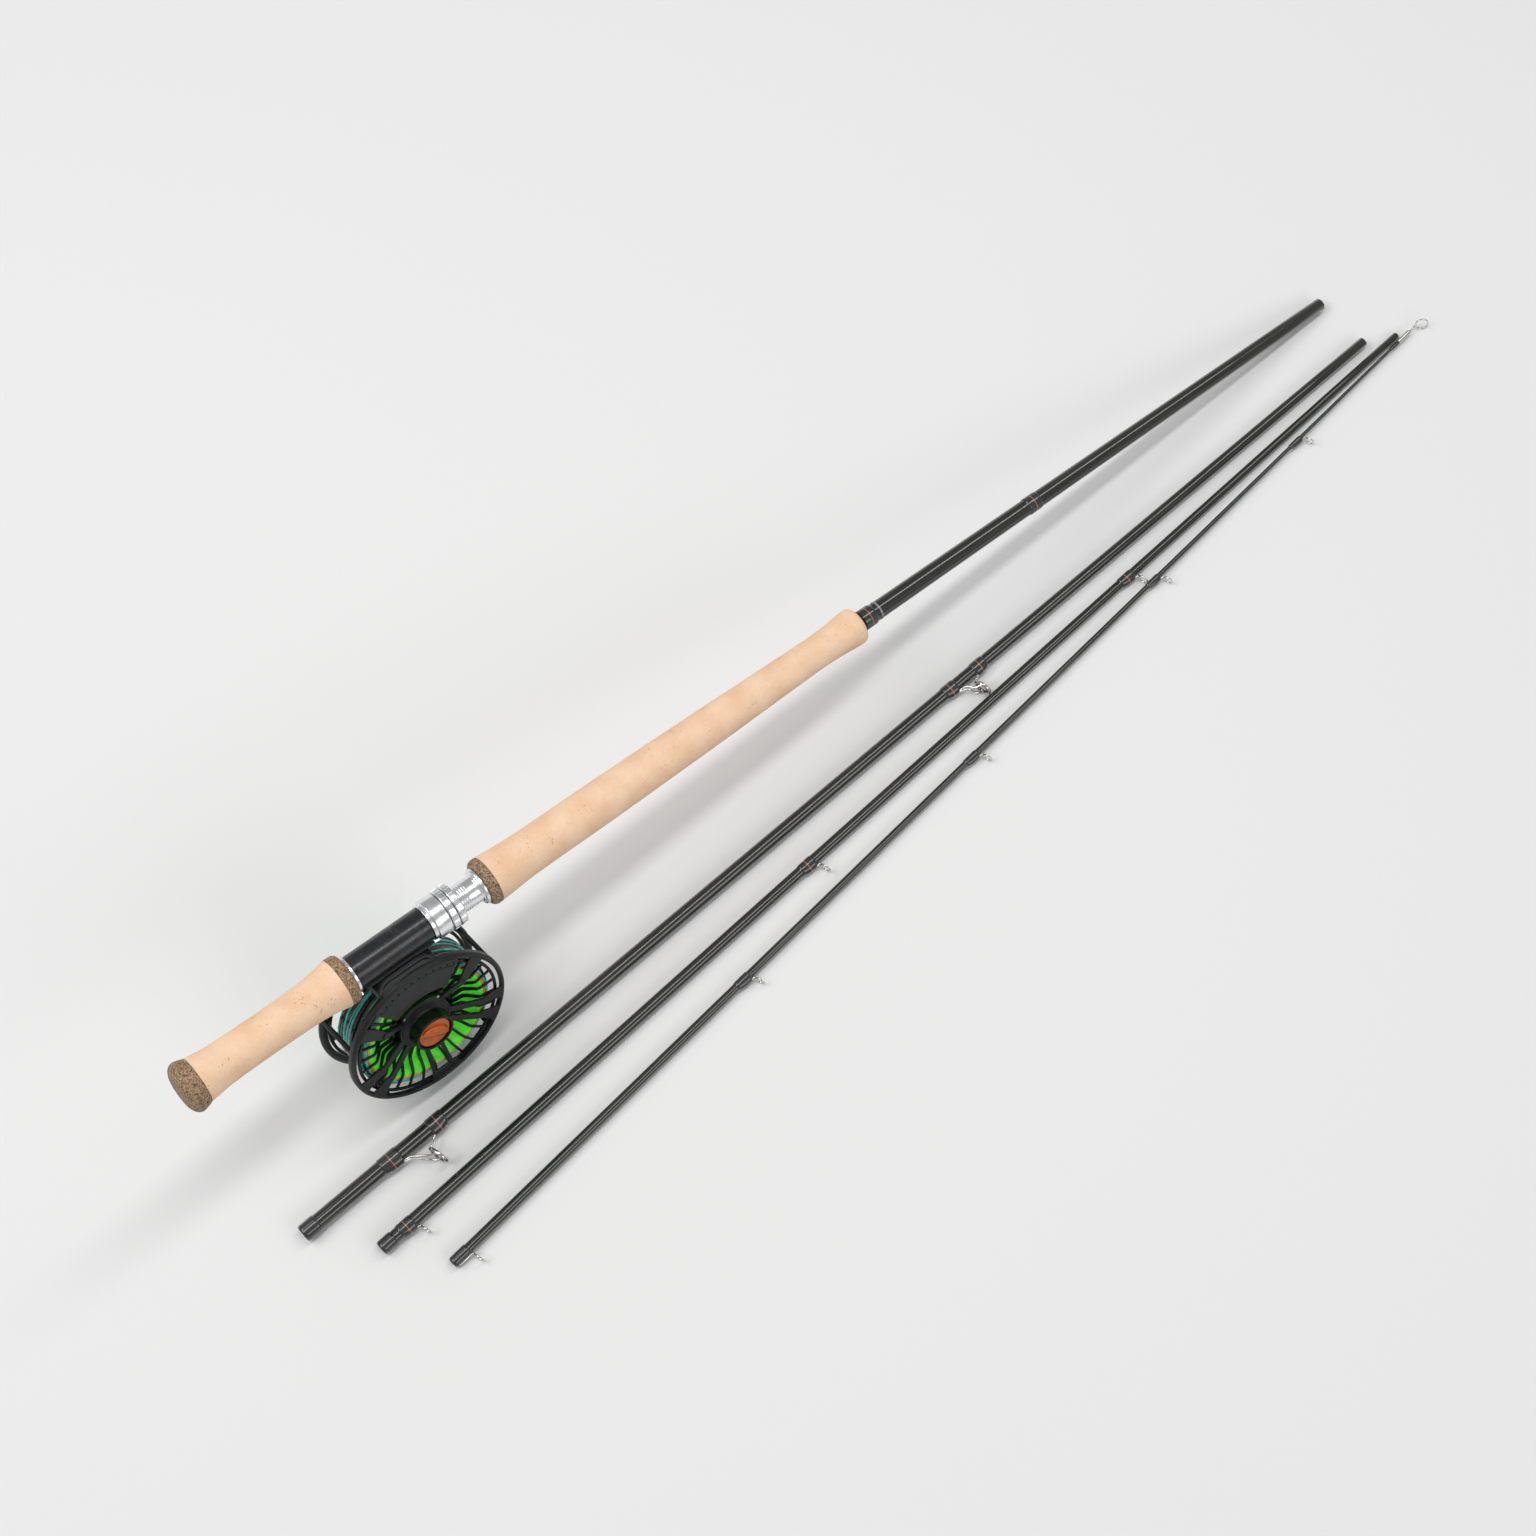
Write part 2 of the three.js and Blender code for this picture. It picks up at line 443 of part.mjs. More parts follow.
// ---- Loose sections ----
function sectionRadius(section, x) {
  return THREE.MathUtils.mapLinear(x, 0, section.length, ...section.outer);
}
function addBlank(number, section, group) {
  const [socket, narrow] = section.bore;
  const [outer0, outer1] = section.outer;
  const bore = narrow > 0
    ? [[section.length, outer1], [section.length, narrow], [SOCKET_DEPTH, socket]]
    : [[section.length, outer1], [section.length, 0], [TIP_BORE_END, 0], [SOCKET_DEPTH, socket]];
  const profile = [[0, outer0], ...bore, [0, socket]];
  const closed = [...profile, profile[0]].map(([h, r]) => new THREE.Vector2(r, h));
  node(`blank_${number}`, new THREE.LatheGeometry(closed, 14).rotateZ(-Math.PI / 2), blankBlack, group);
}
function wrapSleeve(section, x0, x1) {
  const inner = sectionRadius(section, x0) + GAP;
  return turnedX([[x0, inner + WRAP * 0.5], [x0 + 1, inner + WRAP], [x1 - 1, inner + WRAP],
    [x1, inner + WRAP * 0.5], [x1, inner], [x0, inner]], 12);
}
// A section lies on its ferrule wrap and on its upper end, or on its tip ring.
function restHeights(section) {
  return [section.outer[0] + GAP + WRAP, section.tipRest ?? section.outer[1]];
}
// Guides stand sideways out of their section (-Y), raised until the ring clears the floor.
function standAngle(height, ring, axisHeight) {
  return Math.asin(Math.max(0, (ring + FLOOR_CLEARANCE - axisHeight) / height));
}
function guideSpot(group, section, at, height, ring) {
  const spot = new THREE.Group();
  spot.position.set(at, 0, 0);
  const axisHeight = THREE.MathUtils.mapLinear(at, 0, section.length, ...restHeights(section));
  spot.rotation.x = -standAngle(height, ring, axisHeight);
  group.add(spot);
  return spot;
}
// A ring in the plane across the blank, leaning towards the tip, centred at -Y height.
function guideRing(outer, wireR, height, tilt, sides = 5, segments = 14) {
  return new THREE.TorusGeometry(outer - wireR, wireR, sides, segments)
    .rotateY(Math.PI / 2).rotateZ(tilt).translate(0, -height, 0);
}
function addStripper(group, section, guide) {
  const spot = guideSpot(group, section, guide.at, guide.height, guide.ring);
  const { at, ring, height } = guide;
  const blank = sectionRadius(section, at);
  const foot = blank + GAP + 0.45;
  const bandR = 0.9;
  const near = -height + ring - bandR;
  const lowerFoot = [guide.lower[1] - at + 0.5, -foot, 0];
  const upperFoot = [guide.upper[0] - at - 0.5, -foot, 0];
  const legs = [1, -1].map((side) => wire([
    lowerFoot, [lowerFoot[0] + 3, -foot - 0.8, side * 1.2],
    [-3.5, -height + 1, side * (ring - 2.4)], [0, -height, side * (ring - bandR)]], 0.55, 4));
  const shortLeg = wire([upperFoot, [upperFoot[0] - 1.2, -foot - 1.2, 0], [-1.2, near + 1.2, 0],
    [-0.2, near - 0.2, 0]], 0.6, 4);
  const shoes = [guide.lower, guide.upper].map(([a, b], i) => {
    const [x0, x1] = i === 0 ? [b - at - SHOE + GAP, b - at + 1.4] : [a - at - 1.4, a - at + SHOE - GAP];
    return new THREE.BoxGeometry(x1 - x0, 0.9, 2).translate((x0 + x1) / 2, -foot, 0);
  });
  const band = guideRing(ring, bandR, height, RING_TILT, 6, 18);
  node(`stripper_frame_${guide.name}`, join([band, ...legs, shortLeg, ...shoes]), steel, spot);
  const insert = new THREE.TorusGeometry(ring - 2 * bandR - 0.75, 0.45, 5, 16)
    .rotateY(Math.PI / 2).rotateZ(RING_TILT).translate(0, -height, 0);
  node(`stripper_insert_${guide.name}`, insert, steel, spot);
  for (const [end, span] of [['lower', guide.lower], ['upper', guide.upper]]) {
    const [x0, x1] = end === 'lower' ? [span[0], span[1] - SHOE] : [span[0] + SHOE, span[1]];
    node(`stripper_wrap_${guide.name}_${end}`, wrapSleeve(section, x0, x1), threadBlack, group);
  }
}
// A single-foot guide is one wire: a ring and a foot that lies on the blank below it.
function addWireGuide(group, section, name, guide) {
  const blank = sectionRadius(section, guide.at);
  const height = blank + GAP + guide.ring + 0.9;
  const spot = guideSpot(group, section, guide.at, height, guide.ring);
  const foot = blank + GAP + WIRE_R + (guide.at < 20 ? WRAP + GAP : 0);
  const length = Math.min(GUIDE_FOOT, guide.at);
  const neck = wire([[-length, -foot, 0], [-3.5, -foot, 0], [-1.2, -foot - 0.7, 0],
    [-0.25, -height + guide.ring - WIRE_R, 0]], WIRE_R, 4);
  node(name, join([guideRing(guide.ring, WIRE_R, height, RING_TILT), neck]), steel, spot);
}
function addTipTop(group, section) {
  const [tip, sleeveR, stemEnd] = [section.length, section.outer[1] + GAP + 0.5, 8];
  const loopR = TIP_RING - WIRE_R;
  const spot = guideSpot(group, section, tip, loopR * Math.sin(TIP_TILT), TIP_RING);
  const sleeve = turnedX([[-9, sleeveR], [2, sleeveR], [2, 0], [GAP, 0],
    [GAP, section.outer[1] + GAP], [-9, section.outer[1] + GAP]], 12);
  const stem = wire([[1.5, 0, 0], [5, 0, 0], [stemEnd, 0, 0]], 0.55, 2);
  const loop = new THREE.TorusGeometry(loopR, WIRE_R, 5, 16)
    .rotateX(Math.PI / 2).rotateZ(-TIP_TILT)
    .translate(stemEnd + loopR * Math.cos(TIP_TILT), -loopR * Math.sin(TIP_TILT), 0);
  node('tip_top', join([sleeve, stem, loop]), steel, spot);
}
function addSections(parent) {
  for (const [number, section] of Object.entries(SECTIONS)) {
    const group = new THREE.Group();
    group.name = `section_${number}`;
    const [baseHeight, tipHeight] = restHeights(section);
    const pitch = Math.atan2(baseHeight - tipHeight, section.length);
    group.position.set(...section.at, baseHeight);
    group.rotation.set(0, pitch, section.yaw * DEGREE, 'ZYX');
    addBlank(number, section, group);
    node(`ferrule_wrap_${number}`, wrapSleeve(section, 0, 10), threadBlack, group);
    parent.add(group);
    if (number === '2') {
      STRIPPERS.forEach((guide) => addStripper(group, section, guide));
    } else {
      WIRE_GUIDES[number].forEach((guide, i) => {
        addWireGuide(group, section, `guide_${number}_${i + 1}`, guide);
      });
    }
    if (number === '4') addTipTop(group, section);
  }
}

// ---- The butt section's stand ----
// It touches the floor at the rear rim, at the knob's end and at the blank's far end.
function solveStand() {
  let slope = 8 * DEGREE;
  let height = 0;
  let reach = 1;
  for (let i = 0; i < 30; i += 1) {
    reach = Math.hypot(Math.sin(slope), Math.cos(slope) * Math.cos(LEAN));
    const drop = REEL_DROP * Math.cos(LEAN) + REAR_EDGE * Math.sin(LEAN);
    height = drop * Math.cos(slope) + RIM_R * reach;
    slope = Math.asin((height - BLANK_R_TIP * Math.cos(slope)) / BUTT_TIP);
  }
  const down = Math.PI - Math.atan2(Math.sin(slope), Math.cos(slope) * Math.cos(LEAN));
  const step = RIM_R - KNOB_PIN_R - KNOB_R;
  const knobEnd = REAR_EDGE + step * reach / (Math.sin(LEAN) * Math.cos(slope));
  return { slope, height, down, knobEnd };
}

const rodAndReel = new THREE.Group();
const stand = solveStand();
const butt = new THREE.Group();
butt.name = 'butt';
butt.position.set(0, 0, stand.height);
butt.rotation.set(-LEAN, stand.slope, 0, 'YXZ');
rodAndReel.add(butt);
addGrips(butt);
addSeat(butt);
const reel = new THREE.Group();
reel.name = 'reel';
reel.position.set(0, 0, -REEL_DROP);
butt.add(reel);
addCage(reel);
addDrag(reel);
addSpool(reel, stand.down);
addHandle(reel, stand.down, stand.knobEnd);
addSections(rodAndReel);

const box = new THREE.Box3().setFromObject(rodAndReel, true);
const centre = box.getCenter(new THREE.Vector3());
rodAndReel.children.forEach((child) => child.position.sub(new THREE.Vector3(centre.x, centre.y, box.min.z)));

export default rodAndReel;
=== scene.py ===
"""A two-handed fly rod in its four sections, with a full-cage fly reel on the butt section.

Shapes are built in millimetres in each piece's own frame and stored in metres. The
rod's frame has +X along the rod, +Z away from the reel and +Y along the reel's axis.
"""
import json
import math
import random

import bmesh
import bpy
from mathutils import Matrix, Vector


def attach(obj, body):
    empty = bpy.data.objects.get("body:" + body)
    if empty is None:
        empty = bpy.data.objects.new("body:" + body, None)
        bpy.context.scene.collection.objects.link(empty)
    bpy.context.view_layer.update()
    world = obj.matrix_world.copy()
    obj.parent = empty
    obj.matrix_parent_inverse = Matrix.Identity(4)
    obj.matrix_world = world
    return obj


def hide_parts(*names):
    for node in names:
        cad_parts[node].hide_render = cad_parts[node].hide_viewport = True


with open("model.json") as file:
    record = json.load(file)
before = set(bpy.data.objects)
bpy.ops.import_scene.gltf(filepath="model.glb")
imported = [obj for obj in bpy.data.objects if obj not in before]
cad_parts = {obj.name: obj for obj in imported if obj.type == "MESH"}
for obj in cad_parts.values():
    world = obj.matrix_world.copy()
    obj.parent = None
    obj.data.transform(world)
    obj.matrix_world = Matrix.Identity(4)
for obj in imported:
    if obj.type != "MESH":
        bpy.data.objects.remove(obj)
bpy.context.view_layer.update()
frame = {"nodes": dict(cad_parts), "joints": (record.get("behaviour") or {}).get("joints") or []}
MM = 0.001
random.seed(11)

# ---- Frames ----
joints = {joint["name"]: joint for joint in frame["joints"]}
ROD_X = Vector(joints["hood_slide"]["axis"]).normalized()
REEL_Y = Vector(joints["spool_spin"]["axis"]).normalized()
ROD_Z = ROD_X.cross(REEL_Y)
REEL_DROP = 61.5


def placed(x, y, z, origin):
    """A rigid frame from its three axes and its origin."""
    rows = Matrix((x, y, z)).transposed().to_4x4()
    return Matrix.Translation(origin) @ rows


def shifted(place, x=0.0, y=0.0, z=0.0):
    return place @ Matrix.Translation((x * MM, y * MM, z * MM))


REEL = placed(ROD_X, REEL_Y, ROD_Z, Vector(joints["spool_spin"]["pos_m"]))
BUTT = shifted(REEL, z=REEL_DROP)


def axis_frame(node):
    """The frame of a straight tube: its lower end's centre, with +X along it and +Z up."""
    points = [vertex.co.copy() for vertex in frame["nodes"][node].data.vertices]
    along = Vector((1, 0, 0))
    for _ in range(8):
        reach = [point.dot(along) for point in points]
        ends = []
        for end in (min(reach), max(reach)):
            near = [p for p, r in zip(points, reach) if abs(r - end) < 0.4 * MM]
            ends.append(sum(near, Vector()) / len(near))
        along = (ends[1] - ends[0]).normalized()
    side = Vector((0, 0, 1)).cross(along).normalized()
    return placed(along, side, along.cross(side), ends[0]), (ends[1] - ends[0]).length / MM


# ---- Camera, floor and light ----
def add_camera():
    data = bpy.data.cameras.new("camera")
    data.sensor_width = 36
    data.lens = 65.6
    data.clip_end = 50
    camera = bpy.data.objects.new("camera", data)
    bpy.context.scene.collection.objects.link(camera)
    camera.location = (-0.41555, -0.38584, 1.5932)
    look = Vector((0.2089, 0.2565, -0.9437))
    camera.rotation_mode = "QUATERNION"
    camera.rotation_quaternion = look.to_track_quat("-Z", "Y")
    bpy.context.scene.camera = camera


def add_area(name, location, target, size, power, color=(1, 1, 1)):
    data = bpy.data.lights.new(name, "AREA")
    data.shape = "RECTANGLE"
    data.size, data.size_y = size
    data.energy = power
    data.color = color
    light = bpy.data.objects.new(name, data)
    bpy.context.scene.collection.objects.link(light)
    light.location = location
    light.rotation_mode = "QUATERNION"
    light.rotation_quaternion = (Vector(target) - Vector(location)).to_track_quat("-Z", "Y")


def add_studio():
    world = bpy.data.worlds.new("studio")
    world.use_nodes = True
    background = world.node_tree.nodes["Background"]
    background.inputs["Color"].default_value = (1, 1, 1, 1)
    background.inputs["Strength"].default_value = 0.36
    bpy.context.scene.world = world
    bpy.context.scene.view_settings.view_transform = "Standard"
    add_area("key", (-1.5, 1.1, 2.3), (-0.05, 0, 0), (2.6, 0.9), 39)
    add_area("overhead", (0.75, 0.25, 2.3), (0.75, 0.1, 0), (3.2, 0.28), 24)
    add_area("fill", (0.4, -2.0, 1.5), (-0.1, 0, 0), (1.6, 1.0), 13)

    mesh = bpy.data.meshes.new("floor")
    half = 6.0
    mesh.from_pydata([(-half, -half, 0), (half, -half, 0), (half, half, 0), (-half, half, 0)], [],
                     [(0, 1, 2, 3)])
    floor = bpy.data.objects.new("floor", mesh)
    bpy.context.scene.collection.objects.link(floor)
    look = Look("floor_paper", (0.76, 0.76, 0.76), 0.9, specular=0.1)
    mesh.materials.append(look.material)


# ---- Materials ----
class Look:
    """A procedural material; sizes in its nodes are millimetres in the piece's own frame."""

    def __init__(self, name, color, rough, metal=0.0, coat=0.0, coat_rough=0.05, specular=0.5):
        self.material = bpy.data.materials.new(name)
        self.material.use_nodes = True
        self.tree = self.material.node_tree
        self.shader = self.tree.nodes["Principled BSDF"]
        self.set("Base Color", (*color, 1))
        self.set("Roughness", rough)
        self.set("Metallic", metal)
        self.set("Coat Weight", coat)
        self.set("Coat Roughness", coat_rough)
        self.set("Specular IOR Level", specular)

    def set(self, socket, value):
        self.shader.inputs[socket].default_value = value

    def node(self, kind, **values):
        made = self.tree.nodes.new(kind)
        for key, value in values.items():
            if hasattr(made, key):
                setattr(made, key, value)
            else:
                made.inputs[key].default_value = value
        return made

    def link(self, source, target):
        self.tree.links.new(source, target)

    def place(self, stretch=(1, 1, 1)):
        """Millimetre coordinates, multiplied by stretch."""
        source = self.node("ShaderNodeTexCoord").outputs["Object"]
        scaled = self.node("ShaderNodeVectorMath", operation="MULTIPLY")
        self.link(source, scaled.inputs[0])
        scaled.inputs[1].default_value = [1000 * s for s in stretch]
        return scaled.outputs[0]

    def split(self, vector):
        return self.node_out("ShaderNodeSeparateXYZ", vector)

    def node_out(self, kind, vector):
        made = self.node(kind)
        self.link(vector, made.inputs[0])
        return made.outputs

    def radius(self, vector):
        """Distance from the piece's own Y axis."""
        x, _, z = self.split(vector)[0:3]
        squares = [self.math("MULTIPLY", part, part) for part in (x, z)]
        return self.math("SQRT", self.math("ADD", *squares))

    def noise(self, vector, size, detail=3.0, roughness=0.5, distortion=0.0):
        made = self.node("ShaderNodeTexNoise", Scale=1.0 / size, Detail=detail,
                         Roughness=roughness, Distortion=distortion)
        self.link(vector, made.inputs["Vector"])
        return made.outputs[0]

    def cells(self, vector, size, feature="F1", output="Distance", random_place=1.0):
        made = self.node("ShaderNodeTexVoronoi", feature=feature, Scale=1.0 / size,
                         Randomness=random_place)
        self.link(vector, made.inputs["Vector"])
        return made.outputs[output]

    def math(self, operation, first, second=0.0, clamp=False):
        made = self.node("ShaderNodeMath", operation=operation, use_clamp=clamp)
        for socket, value in zip(made.inputs, (first, second)):
            if isinstance(value, (int, float)):
                socket.default_value = value
            else:
                self.link(value, socket)
        return made.outputs[0]

    def between(self, value, low, high, start=0.0, end=1.0):
        made = self.node("ShaderNodeMapRange")
        self.link(value, made.inputs["Value"])
        for key, number in zip(("From Min", "From Max", "To Min", "To Max"), (low, high, start, end)):
            made.inputs[key].default_value = number
        return made.outputs[0]

    def mix(self, share, first, second):
        made = self.node("ShaderNodeMix", data_type="RGBA")
        for socket, value in ((made.inputs[0], share), (made.inputs[6], first), (made.inputs[7], second)):
            if isinstance(value, tuple):
                socket.default_value = (*value, 1) if len(value) == 3 else value
            elif isinstance(value, float):
                socket.default_value = value
            else:
                self.link(value, socket)
        return made.outputs[2]

    def ramp(self, value, stops):
        made = self.node("ShaderNodeValToRGB")
        self.link(value, made.inputs[0])
        ramp = made.color_ramp
        while len(ramp.elements) < len(stops):
            ramp.elements.new(0.5)
        for element, (position, color) in zip(ramp.elements, stops):
            element.position = position
            element.color = (*color, 1)
        return made.outputs[0]

    def color(self, value):
        self.link(value, self.shader.inputs["Base Color"])

    def rough(self, value):
        self.link(value, self.shader.inputs["Roughness"])

    def bump(self, height, depth, strength=1.0):
        """Raises the surface by up to depth millimetres where height is 1."""
        made = self.node("ShaderNodeBump", Strength=strength, Distance=depth * MM)
        self.link(height, made.inputs["Height"])
        self.link(made.outputs[0], self.shader.inputs["Normal"])


CORK_DISC = 12.7                 # a grip is glued up from cork discs of this thickness


def cork_look():
    look = Look("cork_natural", (0.8, 0.55, 0.36), 0.72, specular=0.3)
    here = look.place()
    along = look.split(here)[0]
    share = look.math("DIVIDE", along, CORK_DISC)
    disc = look.math("FLOOR", share)
    tone = look.node("ShaderNodeTexWhiteNoise", noise_dimensions="1D")
    look.link(disc, tone.inputs["W"])
    broad = look.noise(here, 14, 2, 0.5)
    base = look.ramp(broad, [(0.3, (0.80, 0.520, 0.335)), (0.5, (0.845, 0.585, 0.400)),
                             (0.72, (0.88, 0.64, 0.455))])
    base = look.mix(look.math("MULTIPLY", tone.outputs[0], 0.22), base, (0.80, 0.50, 0.31))
    # fine mottling, then the pale growth lines that run along the grip
    mottle = look.noise(look.place((1, 1, 1)), 1.1, 3, 0.6)
    base = look.mix(look.between(mottle, 0.45, 0.75, 0.0, 0.3), base, (0.72, 0.46, 0.29))
    lines = look.noise(look.place((0.25, 1.6, 1.6)), 1.0, 2, 0.55)
    base = look.mix(look.between(lines, 0.62, 0.72, 0.0, 0.45), base, (0.91, 0.70, 0.50))
    # dark pits gather in a few patches and are drawn out round the grip
    patch = look.between(look.noise(here, 11, 2, 0.5), 0.54, 0.68)
    ragged = look.noise(here, 0.45, 2, 0.6)
    cells = look.cells(look.place((1.3, 0.6, 0.6)), 1.5)
    pit_cells = look.math("ADD", cells, look.between(ragged, 0.3, 0.7, -0.1, 0.12))
    pits = look.math("MULTIPLY", look.between(pit_cells, 0.27, 0.16), patch, clamp=True)
    specks = look.between(look.noise(look.place((1.6, 0.8, 0.8)), 0.7, 2, 0.6), 0.69, 0.74)
    dark = look.math("MAXIMUM", look.math("MULTIPLY", pits, 0.75), look.math("MULTIPLY", specks, 0.5))
    look.color(look.mix(dark, base, (0.34, 0.205, 0.12)))
    seam = look.math("ABSOLUTE", look.math("SUBTRACT", look.math("FRACT", share), 0.5))
    groove = look.between(seam, 0.490, 0.5, 0.0, 0.25)
    height = look.math("SUBTRACT", look.math("MULTIPLY", mottle, 0.25), look.math("ADD", dark, groove))
    look.bump(height, 0.14)
    return look.material


def burl_look():
    look = Look("cork_burl", (0.3, 0.2, 0.12), 0.7, specular=0.3)
    here = look.place()
    warp = look.noise(here, 1.4, 2, 0.5)
    bent = look.node("ShaderNodeVectorMath", operation="ADD")
    look.link(here, bent.inputs[0])
    look.link(warp, bent.inputs[1])
    grains = look.cells(bent.outputs[0], 0.62, output="Color")
    value = look.split(grains)[0]
    tone = look.ramp(value, [(0.0, (0.075, 0.045, 0.026)), (0.2, (0.17, 0.105, 0.062)),
                             (0.5, (0.31, 0.205, 0.125)), (0.8, (0.42, 0.285, 0.175)),
                             (1.0, (0.52, 0.34, 0.20))])
    edge = look.cells(bent.outputs[0], 0.62, feature="DISTANCE_TO_EDGE")
    dark = look.between(edge, 0.0, 0.09, 0.25, 0.0)
    fine = look.noise(here, 0.5, 2, 0.6)
    tone = look.mix(look.between(fine, 0.55, 0.75, 0.0, 0.45), tone, (0.07, 0.042, 0.026))
    look.color(look.mix(dark, tone, (0.10, 0.06, 0.035)))
    look.bump(look.math("SUBTRACT", look.math("MULTIPLY", value, 0.5), dark), 0.12)
    return look.material


def blank_look():
    look = Look("carbon_blank", (0.008, 0.009, 0.007), 0.25, coat=1.0, coat_rough=0.06, specular=0.4)
    streaks = look.noise(look.place((0.02, 1.0, 1.0)), 1.2, 3, 0.6)
    look.color(look.ramp(streaks, [(0.3, (0.004, 0.005, 0.0035)), (0.55, (0.010, 0.0115, 0.0085)),
                                   (0.8, (0.022, 0.025, 0.018))]))
    look.rough(look.between(streaks, 0.3, 0.8, 0.24, 0.34))
    # the faint spiral left by the tape that the blank is rolled under
    along = look.split(look.place())[0]
    turn = look.math("SINE", look.math("MULTIPLY", along, 3.2))
    look.bump(look.math("ADD", look.math("MULTIPLY", turn, 0.3), streaks), 0.012)
    return look.material


def thread_look(name="thread_black", line=True):
    """Thread turns under varnish; a copper line of three turns lies at the piece's own x = 0."""
    look = Look(name, (0.006, 0.006, 0.007), 0.35, coat=1.0, coat_rough=0.03)
    along = look.split(look.place())[0]
    weave = look.math("ABSOLUTE", look.math("SINE", look.math("MULTIPLY", along, 11.0)))
    tone = look.ramp(weave, [(0.0, (0.003, 0.003, 0.004)), (1.0, (0.016, 0.016, 0.019))])
    if line:
        inlay = look.between(look.math("ABSOLUTE", along), 0.20, 0.26, 1.0, 0.0)
        tone = look.mix(inlay, tone, (0.42, 0.15, 0.07))
    look.color(tone)
    look.bump(weave, 0.02, 0.7)
    return look.material


def metal_look(name, color, rough, turned="X", depth=0.0015, pitch=0.35):
    """Turned and polished metal: fine rings about the piece's own axis, and faint handling marks."""
    look = Look(name, color, rough, metal=1.0)
    here = look.place()
    along = look.split(here)["XYZ".index(turned)] if turned else None
    marks = look.noise(here, 3.5, 4, 0.6)
    look.rough(look.between(marks, 0.3, 0.75, rough * 0.85, rough * 1.2))
    if along is not None:
        rings = look.node("ShaderNodeTexNoise", noise_dimensions="1D", Scale=1.0, Detail=3.0)
        look.link(look.math("DIVIDE", along, pitch), rings.inputs["W"])
        look.bump(rings.outputs[0], depth)
    return look.material


def anodised_look(name="anodised_black", color=(0.0065, 0.007, 0.008), rough=0.42, specular=0.4):
    """Bead-blasted anodised aluminium: a satin skin with a fine even grain."""
    look = Look(name, color, rough, specular=specular)
    here = look.place()
    grain = look.noise(here, 0.16, 2, 0.6)
    wear = look.noise(here, 7.0, 3, 0.6)
    low = tuple(c * 0.8 for c in color)
    high = tuple(min(1.0, c * 1.35) for c in color)
    look.color(look.mix(look.between(wear, 0.35, 0.7), low, high))
    look.rough(look.between(wear, 0.3, 0.7, rough * 0.88, rough * 1.12))
    look.bump(grain, 0.006, 0.6)
    return look.material


def orange_look():
    look = Look("anodised_orange", (0.56, 0.12, 0.015), 0.36, metal=0.35, specular=0.5)
    here = look.place()
    rings = look.math("SINE", look.math("MULTIPLY", look.radius(here), 22.0))
    wear = look.noise(here, 4.0, 3, 0.6)
    look.color(look.mix(look.between(wear, 0.35, 0.7), (0.47, 0.095, 0.012), (0.62, 0.15, 0.022)))
    look.bump(look.math("ADD", look.math("MULTIPLY", rings, 0.4), wear), 0.008)
    return look.material


def seat_look():
    """Black seat body with a marbled figure: thin paler contour lines, drawn out round the seat."""
    look = Look("seat_marbled", (0.006, 0.0065, 0.008), 0.34, coat=0.35, coat_rough=0.18, specular=0.4)
    here = look.place((0.75, 0.5, 0.5))
    field = look.noise(here, 14, 1.5, 0.4, 0.9)
    contour = look.math("SINE", look.math("MULTIPLY", field, 150.0))
    lines = look.between(contour, 0.25, 1.0)
    cloud = look.between(look.noise(look.place(), 10, 2), 0.38, 0.68)
    share = look.math("MULTIPLY", lines, look.math("MULTIPLY", cloud, 0.75))
    tone = look.mix(share, (0.0042, 0.0046, 0.0058), (0.052, 0.055, 0.062))
    fine = look.noise(look.place((0.1, 2, 2)), 0.8, 2)
    look.color(look.mix(look.between(fine, 0.5, 0.8, 0.0, 0.15), tone, (0.03, 0.032, 0.037)))
    look.rough(look.between(share, 0.0, 0.75, 0.34, 0.22))
    look.bump(fine, 0.008, 0.5)
    return look.material


def line_look(name, color, pale, rough=0.35, coat=0.4):
    """Coated line: smooth plastic with slow changes of tone along it."""
    look = Look(name, color, rough, coat=coat, coat_rough=0.12)
    here = look.place()
    slow = look.noise(here, 5.0, 2)
    look.color(look.mix(look.between(slow, 0.38, 0.66), color, pale))
    look.bump(look.noise(here, 0.35, 2, 0.6), 0.02, 0.5)
    return look.material


def backing_look():
    """Braided backing: a soft fibre with a fine crossing weave, and a painted glow."""
    look = Look("backing_braid_painted_glow", (0.05, 0.62, 0.03), 0.6)
    # painted glow: the emission makes the backing shine a little green light of its own, brighter than the
    # lamps alone make it
    look.set("Emission Color", (0.10, 0.90, 0.04, 1))
    look.set("Emission Strength", 0.22)
    here = look.place()
    x, _, z = look.split(here)[0:3]
    around = look.math("ARCTAN2", x, z)
    twist = look.math("SINE", look.math("MULTIPLY", around, 240.0))
    slow = look.noise(here, 4.0, 3, 0.6)
    tone = look.mix(look.between(slow, 0.35, 0.68), (0.05, 0.66, 0.02), (0.20, 0.95, 0.08))
    strand = look.math("ABSOLUTE", look.math("SINE", look.math("MULTIPLY", look.radius(here), 3.9)))
    look.color(look.mix(look.between(strand, 0.0, 0.35, 0.3, 0.0), tone, (0.03, 0.40, 0.015)))
    look.bump(look.math("ADD", look.math("MULTIPLY", twist, 0.3), strand), 0.1)
    return look.material


def disc_look():
    look = Look("drag_disc_weave", (0.02, 0.02, 0.02), 0.5, coat=0.3)
    checks = look.node("ShaderNodeTexChecker", Scale=1.0 / 1.4)
    look.link(look.place(), checks.inputs["Vector"])
    checks.inputs["Color1"].default_value = (0.035, 0.035, 0.035, 1)
    checks.inputs["Color2"].default_value = (0.008, 0.008, 0.008, 1)
    look.color(checks.outputs[0])
    look.bump(checks.outputs[1], 0.03)
    return look.material


